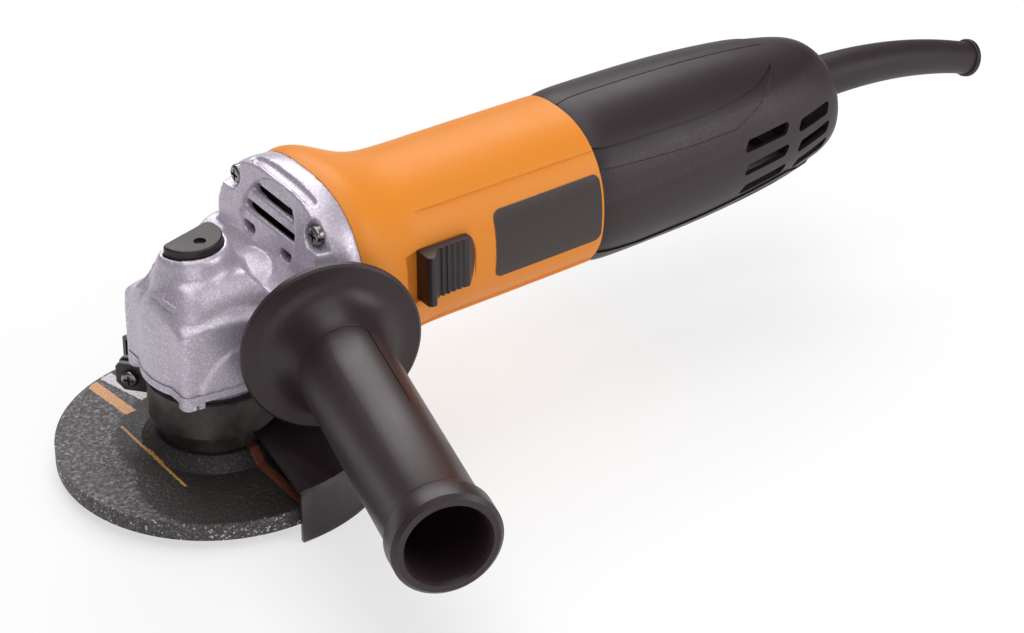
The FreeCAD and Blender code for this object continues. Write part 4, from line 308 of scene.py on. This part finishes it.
def abrasive():
    """Bonded abrasive: a glass-fibre net with a dark printed field, drawn further out towards one
    side as painted shade, and plain bars, coarse on the rim.
    """
    material, tree, shader, place = new_material("bonded_abrasive")
    tone = cells(tree, place, 1500.0)
    rough_skin = noise(tree, place, 1100.0, 5.0, 0.7)
    net = noise(tree, place, 620.0, 3.0, 0.65)
    grain = ramp(tree, tone, [(0.0, (0.03, 0.024, 0.025)), (0.6, (0.065, 0.055, 0.057)),
                              (0.93, (0.14, 0.125, 0.125)), (0.99, (0.6, 0.57, 0.55))])
    threads = ramp(tree, net, [(0.36, (0.022, 0.018, 0.019)), (0.5, (0.075, 0.064, 0.07)),
                               (0.66, (0.27, 0.245, 0.265))])
    face = blend(tree, 0.35, threads, grain)
    dark = ramp(tree, tone, [(0.0, (0.016, 0.012, 0.011)), (0.9, (0.026, 0.02, 0.019)),
                             (1.0, (0.07, 0.06, 0.058))])
    x, y, _ = split(tree, place)
    flat = add(tree, "CombineXYZ", 0, X=x, Y=y)
    radius = add(tree, "VectorMath", 1, {"operation": "LENGTH"}, i0=flat)
    outwards = add(tree, "VectorMath", 0, {"operation": "NORMALIZE"}, i0=flat)
    bearing = add(tree, "VectorMath", 1, {"operation": "DOT_PRODUCT"}, i0=outwards, i1=PAINTED_SHADE_WAY)
    # Towards one side the dark field reaches further out: this reach is painted shade, not print.
    shade_growth = times(tree, maths(tree, "MAXIMUM", less(tree, bearing, 0.5), 0.0), 0.047)
    reach = maths(tree, "ADD", less(tree, radius, shade_growth), times(tree, net, 0.006))
    print_and_shade = ramp(tree, times(tree, reach, 20.0), [(0.77, 1.0), (0.81, 0.0)])
    colour = blend(tree, print_and_shade, face, dark)
    smear = ramp(tree, rough_skin, [(0.3, 0.25), (0.5, 1.0)])
    for *bar, paint in BARS:
        share = times(tree, stripe(tree, place, *bar), smear)
        colour = blend(tree, share, colour, paint)
    side = ramp(tree, times(tree, radius, 10.0), [(0.565, 0.0), (0.57, 1.0)])
    put(tree, shader.inputs["Base Color"], blend(tree, side, colour, grain))
    gloss = ramp(tree, tone, [(0.0, 0.62), (0.9, 0.46), (1.0, 0.25)])
    put(tree, shader.inputs["Roughness"], gloss)
    coarse = blend(tree, side, ramp(tree, net, [(0.3, 0.0), (0.7, 1.0)]), rough_skin)
    height = maths(tree, "ADD", coarse, times(tree, tone, 0.35))
    bump(tree, shader, height, 0.5, 0.0004)
    return material


def banded_metal(name, way, scale, distortion, low, high, metallic, rough, relief, depth):
    """Metal of many thin layers side by side, such as wound wire or stacked sheets."""
    material, tree, shader, place = new_material(name)
    bands = add(tree, "TexWave", 0, {"wave_type": "BANDS", "bands_direction": way},
                Vector=place, Scale=scale, Distortion=distortion)
    put(tree, shader.inputs["Base Color"], blend(tree, bands, low, high))
    shader.inputs["Metallic"].default_value = metallic
    shader.inputs["Roughness"].default_value = rough
    bump(tree, shader, bands, relief, depth)
    return material


SILVER = silver_paint()
ORANGE = moulded_plastic("orange_nylon", (0.78, 0.25, 0.024), (0.8, 0.275, 0.031), 0.46,
                         grain=0.08, level=0.27)
BLACK = moulded_plastic("black_nylon", (0.024, 0.0125, 0.0148), (0.036, 0.0215, 0.025), 0.41,
                        level=0.42)
HANDLE = handle_nylon()
BUTTON_BLACK = moulded_plastic("button_nylon", (0.02, 0.012, 0.013), (0.03, 0.0195, 0.021), 0.42,
                               2200.0, 0.12)
PLATE = moulded_plastic("bare_plate", (0.034, 0.0225, 0.0215), (0.052, 0.037, 0.036), 0.42,
                        1800.0, 0.1)
PLATE_EDGE = moulded_plastic("plate_edge", (0.3, 0.19, 0.1), (0.4, 0.28, 0.17), 0.4)
STEEL = steel("turned_steel", (0.6, 0.6, 0.61), 0.3)
ZINC = steel("zinc_plate", (0.72, 0.71, 0.68), 0.25, False)
DARK_STEEL = steel("black_nickel", (0.3, 0.28, 0.27), 0.22, False)
PAINT = dark_paint("guard_paint", (0.019, 0.0115, 0.0125), 0.3)
CLAMP_PAINT = dark_paint("clamp_paint", (0.02, 0.0135, 0.014), 0.4)
RUBBER = rubber()
ABRASIVE = abrasive()
COPPER = banded_metal("enamelled_copper", way="Y", scale=1100.0, distortion=1.5,
                      low=(0.28, 0.09, 0.03), high=(0.72, 0.3, 0.12), metallic=0.85, rough=0.32,
                      relief=0.6, depth=0.0002)
BRASS = steel("drawn_brass", (0.72, 0.5, 0.22), 0.3, False)
LAMINATIONS = banded_metal("stacked_laminations", way="X", scale=320.0, distortion=0.1,
                           low=(0.1, 0.1, 0.105), high=(0.4, 0.4, 0.41), metallic=0.9,
                           rough=0.45, relief=0.5, depth=0.0001)
CARBON = moulded_plastic("pressed_carbon", (0.03, 0.03, 0.031), (0.07, 0.07, 0.072), 0.5)

FINISHES = {
    "gear_housing": SILVER, "bearing_box": SILVER, "box_screws": ZINC, "head_screws": DARK_STEEL,
    "spindle": STEEL, "spindle_bearing": STEEL, "needle_bearing": STEEL,
    "bearing_retainer": STEEL, "bevel_gear": STEEL, "pinion": STEEL,
    "inner_flange": CLAMP_PAINT, "grinding_disc": ABRASIVE, "lock_nut": DARK_STEEL,
    "guard": PAINT, "guard_clamp": CLAMP_PAINT, "clamp_screw": DARK_STEEL,
    "clamp_nut": DARK_STEEL, "lock_button": BUTTON_BLACK, "lock_pin": STEEL, "lock_spring": STEEL,
    "motor_housing": ORANGE, "label_plate": PLATE, "air_baffle": BLACK,
    "armature_shaft": STEEL, "armature_core": LAMINATIONS, "armature_windings": COPPER,
    "commutator": COPPER, "fan": BLACK, "front_bearing": STEEL, "rear_bearing": STEEL,
    "stator_core": LAMINATIONS, "field_coils": COPPER, "brush_holders": BRASS,
    "carbon_brushes": CARBON, "switch_knob": BUTTON_BLACK, "switch_rod": BLACK,
    "switch_body": BLACK, "capacitor": ORANGE, "handle_left": HANDLE, "handle_right": HANDLE,
    "handle_screws": ZINC, "cord_clamp": BLACK, "cord_guard": RUBBER, "side_handle": BLACK,
    "handle_stud": ZINC,
}


# --- Working on pieces ---------------------------------------------------------------------------

def deselect():
    bpy.ops.object.select_all(action="DESELECT")


def activate(piece):
    deselect()
    piece.select_set(True)
    bpy.context.view_layer.objects.active = piece


def dress(piece, *materials):
    piece.data.materials.clear()
    for material in materials:
        piece.data.materials.append(material)


def edit(piece, kind="FACE"):
    """Opens the piece in edit mode with everything selected."""
    activate(piece)
    bpy.ops.object.mode_set(mode="EDIT")
    bpy.ops.mesh.select_mode(type=kind)
    bpy.ops.mesh.select_all(action="SELECT")


def leave():
    bpy.ops.object.mode_set(mode="OBJECT")


def pick(piece, kind, test):
    """Selects only the vertices, edges or faces of the piece in edit mode that pass the test."""
    bpy.ops.mesh.select_mode(type=kind)
    bpy.ops.mesh.select_all(action="DESELECT")
    mesh = bmesh.from_edit_mesh(piece.data)
    for element in {"VERT": mesh.verts, "EDGE": mesh.edges, "FACE": mesh.faces}[kind]:
        element.select_set(test(element))
    mesh.select_flush_mode()
    bmesh.update_edit_mesh(piece.data)


def clip(place, normal):
    """Cuts away what lies past a plane and closes the cut."""
    bpy.ops.mesh.select_all(action="SELECT")
    bpy.ops.mesh.bisect(plane_co=place, plane_no=normal, use_fill=True, clear_outer=True)


def smooth_shade(piece, angle):
    activate(piece)
    bpy.ops.object.shade_smooth_by_angle(angle=math.radians(angle))


def finished(node):
    """Welded, smoothly shaded copy of a CAD node, which stands for the node."""
    activate(frame["nodes"][node])
    bpy.ops.object.duplicate()
    piece = bpy.context.view_layer.objects.active
    piece.name = node + "_finished"
    body = piece["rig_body"]
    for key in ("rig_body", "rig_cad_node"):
        del piece[key]
    piece.parent = None
    piece.matrix_world = Matrix.Identity(4)
    edit(piece)
    bpy.ops.mesh.customdata_custom_splitnormals_clear()
    bpy.ops.mesh.remove_doubles(threshold=0.000001)
    leave()
    smooth_shade(piece, 32.0)
    dress(piece, FINISHES[node])
    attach(piece, body)
    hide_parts(node)
    return piece


def modify(piece, kind, **settings):
    activate(piece)
    modifier = piece.modifiers.new(kind.lower(), kind)
    for key, value in settings.items():
        setattr(modifier, key, value)
    bpy.ops.object.modifier_apply(modifier=modifier.name)


def soften(piece, cell, passes):
    """Turns a piece's hard edges into the round ones of a casting."""
    modify(piece, "REMESH", mode="VOXEL", voxel_size=cell, use_smooth_shade=True)
    modify(piece, "SMOOTH", factor=0.5, iterations=passes)


def settle(piece, name):
    """Gives a new piece its name and puts its place into its mesh."""
    activate(piece)
    bpy.ops.object.transform_apply()
    piece.name = name
    return piece


def cylinder(name, place, radius, depth, sides=48):
    """Upright cylinder standing on the given place."""
    deselect()
    middle = Vector(place) + Vector((0, 0, depth / 2))
    bpy.ops.mesh.primitive_cylinder_add(vertices=sides, radius=radius, depth=depth,
                                        location=middle)
    return settle(bpy.context.view_layer.objects.active, name)


def cut(piece, tool):
    """Takes the tool's shape out of the piece, and the tool away."""
    modify(piece, "BOOLEAN", object=tool, operation="DIFFERENCE", solver="EXACT")
    activate(tool)
    bpy.ops.object.delete()


def stack(piece, rings):
    """Raises the piece's top face through (reach, height) rings in mm."""
    top = rings[0][1] * MM
    edit(piece)
    pick(piece, "FACE", lambda f: f.normal.z > 0.9 and f.calc_center_median().z > top - 1e-5)
    for (wide, low), (narrow, high) in zip(rings, rings[1:]):
        bpy.ops.mesh.inset(thickness=(wide - narrow) * MM, depth=(high - low) * MM)
    leave()


# --- Gear head -----------------------------------------------------------------------------------

BUTTON_PLACE = Vector((-0.0038, 0.0042, 0.0))
BUTTON_RADIUS = 0.0116
BUTTON_FLAT = 0.0024                # from the button's middle to its flat
BUTTON_CORNER = 0.0026              # rounding of the flat's two ends
BUTTON_TURN = math.radians(14.8)
POCKET_FLOOR = 0.0666
POCKET_PLAY = 0.4 * MM              # room left round the button
RIM_PLAY = 0.3 * MM                 # the same in the rim, before the casting is softened
ABOVE_ALL = 0.08                    # a height over the whole head

DOME_MIDDLE = (-0.0042, -0.0026, 0.0512)
DOME_SIZE = (0.0404, 0.0352, 0.0044)
DOME_CORNER = 0.013                 # rounding of its two upright edges towards the nose
# Both stacks are given as (reach, height) rings in mm, and a ring steps in by what its reach loses.
DOME_RINGS = ((16.0, 53.4), (15.2, 56.2), (13.6, 59.4), (11.8, 62.2), (9.8, 64.8), (8.4, 66.4))
RIM_RINGS = ((7.6, 57.0), (6.4, 60.4), (5.2, 64.0), (4.1, 67.4), (3.0, 70.4), (2.3, 72.4),
             (1.7, 73.5), (1.1, 73.9))
RIM_FOOT = 0.0489
RIM_END = -0.008                    # the rim is only made in front of this place
HOLE_FOOT = 0.045
SPRING_HOLE = (-0.0108, 0.0031, 0.04)       # place along the head, radius, depth
SPINDLE_HOLE = (0.0, 0.0082, 0.0216)
HEAD_CELL = 0.66 * MM               # fineness of the casting's skin

# The nose and the near slope of the roof are worn smoother than the rest of the casting.
NOSE_FOOT = 0.0485
NOSE_BACK = -0.0175
SLOPE_BACK = 0.008
SLOPE_HEIGHTS = (0.056, 0.071)

ARROW_AWAY = Vector((-0.8, -0.15, 0.58)).normalized()           # out of the roof's front
ARROW_ACROSS = Vector((-0.09, 0.99, 0.05)).cross(ARROW_AWAY).normalized()
ARROW_TIP = Vector((-0.0213, 0.0019, 0.0607))
# Head and shaft: place of the middle across and along, width, length
ARROW_PARTS = ((0.0017, -0.0039, 0.004, 0.0078), (0.0004, -0.0111, 0.002, 0.0068))
ARROW_RELIEF = 0.0023


def button_shape(name, grow, low, high):
    """The lock button's round outline with its flat, drawn outwards by grow, as a solid."""
    radius = BUTTON_RADIUS + grow
    piece = cylinder(name, (BUTTON_PLACE.x, BUTTON_PLACE.y, low), radius, high - low, 60)
    edit(piece)
    turn = Matrix.Rotation(BUTTON_TURN, 3, "Z")
    for side in (-1, 1):
        middle = Vector((side * (BUTTON_RADIUS - BUTTON_CORNER), BUTTON_FLAT - BUTTON_CORNER, 0))
        corner = BUTTON_PLACE + turn @ middle
        for step in range(6):
            angle = math.radians(90 - side * 15 * step)
            outwards = turn @ Vector((math.cos(angle), math.sin(angle), 0))
            clip(corner + outwards * (BUTTON_CORNER + grow), outwards)
    bpy.ops.mesh.select_all(action="SELECT")
    bpy.ops.mesh.remove_doubles(threshold=radius * 0.05)
    leave()
    return piece


def roof_dome():
    """Full front of the roof, with round corners towards the nose."""
    deselect()
    bpy.ops.mesh.primitive_cube_add(size=1.0, location=DOME_MIDDLE, scale=DOME_SIZE)
    dome = settle(bpy.context.view_layer.objects.active, "roof_dome")
    edit(dome)
    pick(dome, "EDGE", lambda e: all(v.co.x < -0.02 for v in e.verts)
         and abs(e.verts[0].co.z - e.verts[1].co.z) > 0.003)
    bpy.ops.mesh.bevel(offset=DOME_CORNER, segments=8, affect="EDGES")
    leave()
    stack(dome, DOME_RINGS)
    return dome


def roof_rim():
    """Rim that closes round the button's flat side and flows down into the dome."""
    rim = button_shape("roof_rim", RIM_RINGS[0][0] * MM, RIM_FOOT, RIM_RINGS[0][1] * MM)
    stack(rim, RIM_RINGS)
    edit(rim)
    clip((RIM_END, 0, 0), (1, 0, 0))
    leave()
    cut(rim, button_shape("pocket_tool", RIM_PLAY, POCKET_FLOOR + 0.1 * MM, ABOVE_ALL))
    return rim


def roof_arrow():
    """Raised half arrow on the front of the roof, which shows the way the spindle turns."""
    along = ARROW_AWAY.cross(ARROW_ACROSS)
    tip = ARROW_TIP + ARROW_AWAY * 0.006
    turn = Matrix((ARROW_ACROSS, along, ARROW_AWAY)).transposed().to_euler()
    parts = []
    for x, y, width, length in ARROW_PARTS:
        deselect()
        middle = tip + ARROW_ACROSS * x + along * y
        bpy.ops.mesh.primitive_plane_add(size=1.0, location=middle, rotation=turn)
        part = bpy.context.view_layer.objects.active
        part.scale = (width, length, 1.0)
        bpy.ops.object.transform_apply(location=False, rotation=False, scale=True)
        parts.append(part)
    head, shaft = parts
    edit(head, "VERT")
    pick(head, "VERT", lambda v: v.co.y > 0)
    bpy.ops.mesh.merge(type="CENTER")
    bpy.ops.transform.translate(value=ARROW_ACROSS * -ARROW_PARTS[0][2] / 2)
    leave()
    for part in parts:
        edit(part, "VERT")
        bpy.ops.mesh.subdivide(number_cuts=12)
        leave()
        modify(part, "SHRINKWRAP", target=housing, wrap_method="PROJECT", use_project_z=True,
               use_negative_direction=True, use_positive_direction=True)
        modify(part, "SOLIDIFY", thickness=ARROW_RELIEF, offset=0.0)
    activate(head)
    shaft.select_set(True)
    bpy.ops.object.join()
    settle(head, "roof_arrow")
    soften(head, 0.16 * MM, 1)
    dress(head, SILVER)
    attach(head, "housing")


for node, material in FINISHES.items():
    dress(frame["nodes"][node], material)

housing = finished("gear_housing")
fills = (roof_dome(), roof_rim())
for fill in fills:
    for name, (x, radius, depth) in (("spring_tool", SPRING_HOLE), ("spindle_tool", SPINDLE_HOLE)):
        cut(fill, cylinder(name, (x, 0, HOLE_FOOT), radius, depth))
activate(housing)
for fill in fills:
    fill.select_set(True)
bpy.ops.object.join()
soften(housing, HEAD_CELL, 4)

edit(housing, "VERT")
pick(housing, "VERT", lambda v: v.co.z > NOSE_FOOT and (
    v.co.x < NOSE_BACK
    or v.co.x < SLOPE_BACK and v.co.y < 0 and SLOPE_HEIGHTS[0] < v.co.z < SLOPE_HEIGHTS[1]))
housing.vertex_groups.new(name="nose")
bpy.ops.object.vertex_group_assign()
leave()
modify(housing, "SMOOTH", factor=0.5, iterations=36, vertex_group="nose")
cut(housing, button_shape("pocket_tool", POCKET_PLAY, POCKET_FLOOR, ABOVE_ALL))
smooth_shade(housing, 40)
roof_arrow()


# --- Other outer pieces --------------------------------------------------------------------------

for node in ("bearing_box", "head_screws", "guard", "guard_clamp", "clamp_screw", "lock_button",
             "motor_housing", "cord_guard", "side_handle", "grinding_disc", "inner_flange",
             "box_screws", "handle_left", "handle_right"):
    finished(node)

# The upper screw heads are cut level here, so that none stands out of the handle's round top.
SCREW_TOP = 0.0738
screws = finished("handle_screws")
edit(screws)
clip((0, 0, SCREW_TOP), (0, 0, 1))
leave()

plate = finished("label_plate")
plate.data.materials.append(PLATE_EDGE)
edit(plate)
pick(plate, "FACE", lambda f: abs(f.normal.y) < 0.5)
plate.active_material_index = 1
bpy.ops.object.material_slot_assign()
leave()

knob = finished("switch_knob")
soften(knob, 0.25 * MM, 12)


# --- Floor, light and camera ---------------------------------------------------------------------

MIDDLE = (0.1, 0.0, 0.04)
# Soft lights, all turned to the middle of the tool: name, place, size, power
LIGHTS = (
    ("top_light", (-0.1, -0.45, 1.3), (1.1, 1.1), 6.5),
    ("back_top_light", (0.2, 0.4, 1.3), (1.0, 0.8), 6.0),
    ("rim_light", (0.5, 1.0, 0.9), (1.2, 0.5), 9.0),
    ("right_light", (0.9, -1.0, 0.6), (0.9, 0.7), 7.0),
    ("front_light", (-0.5, -1.2, 0.35), (0.9, 0.6), 2.6),
)
CAMERA_PLACE = (-0.50381, -0.91469, 0.69831)
CAMERA_TURN = -34.674
CAMERA_TILT = 90 - 32.207
CAMERA_ROLL = -0.205
CAMERA_LENS = 123.21
SKY_LIGHT = 0.16
FLOOR_GLOW = 0.62


def floor():
    """Pale floor that looks almost white to the eye and keeps the tool's shadow."""
    deselect()
    bpy.ops.mesh.primitive_plane_add(size=6.0, location=(0.1, 0.0, cad_box[0][2]))
    piece = bpy.context.view_layer.objects.active
    piece.name = "floor"
    material, tree, shader, place = new_material("pale_floor")
    tree.nodes.remove(shader)
    soft = noise(tree, place, 3.0)
    colour = blend(tree, soft, (0.88, 0.88, 0.88), (0.92, 0.92, 0.92))
    matt = add(tree, "BsdfDiffuse", 0, Color=colour)
    glow = add(tree, "Emission", 0, Color=(1, 1, 1, 1), Strength=FLOOR_GLOW)
    shade = blend(tree, soft, (0.36, 0.36, 0.36), (0.38, 0.38, 0.38))
    half = add(tree, "BsdfDiffuse", 0, Color=shade)
    seen = add(tree, "AddShader", 0, i0=glow, i1=half)
    ray = tree.nodes.new("ShaderNodeLightPath")
    share = maths(tree, "MAXIMUM", ray.outputs["Is Camera Ray"], ray.outputs["Is Glossy Ray"])
    surface = add(tree, "MixShader", 0, i0=share, i1=matt, i2=seen)
    tree.links.new(surface, tree.nodes["Material Output"].inputs[0])
    dress(piece, material)


def world():
    """Faint even sky, which looks white itself."""
    sky = bpy.data.worlds.new("studio")
    bpy.context.scene.world = sky
    sky.use_nodes = True
    tree = sky.node_tree
    ray = tree.nodes.new("ShaderNodeLightPath")
    base = tree.nodes["Background"]
    base.inputs[0].default_value = (1, 1, 1, 1)
    strength = add(tree, "MapRange", 0, Value=ray.outputs["Is Camera Ray"], To_Min=SKY_LIGHT,
                   To_Max=1.0)
    tree.links.new(strength, base.inputs[1])


def softbox(name, place, size, power):
    light = bpy.data.lights.new(name, "AREA")
    light.shape = "RECTANGLE"
    light.size, light.size_y = size
    light.energy = power
    piece = bpy.data.objects.new(name, light)
    bpy.context.collection.objects.link(piece)
    piece.location = place
    way = Vector(MIDDLE) - Vector(place)
    piece.rotation_euler = way.to_track_quat("-Z", "Y").to_euler()


def camera():
    data = bpy.data.cameras.new("camera")
    data.sensor_width = 36.0
    data.lens = CAMERA_LENS
    data.clip_start = 0.05
    data.clip_end = 20.0
    piece = bpy.data.objects.new("camera", data)
    bpy.context.collection.objects.link(piece)
    place = Matrix.Translation(CAMERA_PLACE)
    for angle, axis in ((CAMERA_TURN, "Z"), (CAMERA_TILT, "X"), (CAMERA_ROLL, "Z")):
        place = place @ Matrix.Rotation(math.radians(angle), 4, axis)
    piece.matrix_world = place
    bpy.context.scene.camera = piece


floor()
world()
for light in LIGHTS:
    softbox(*light)
camera()
bpy.context.scene.view_settings.view_transform = "Standard"
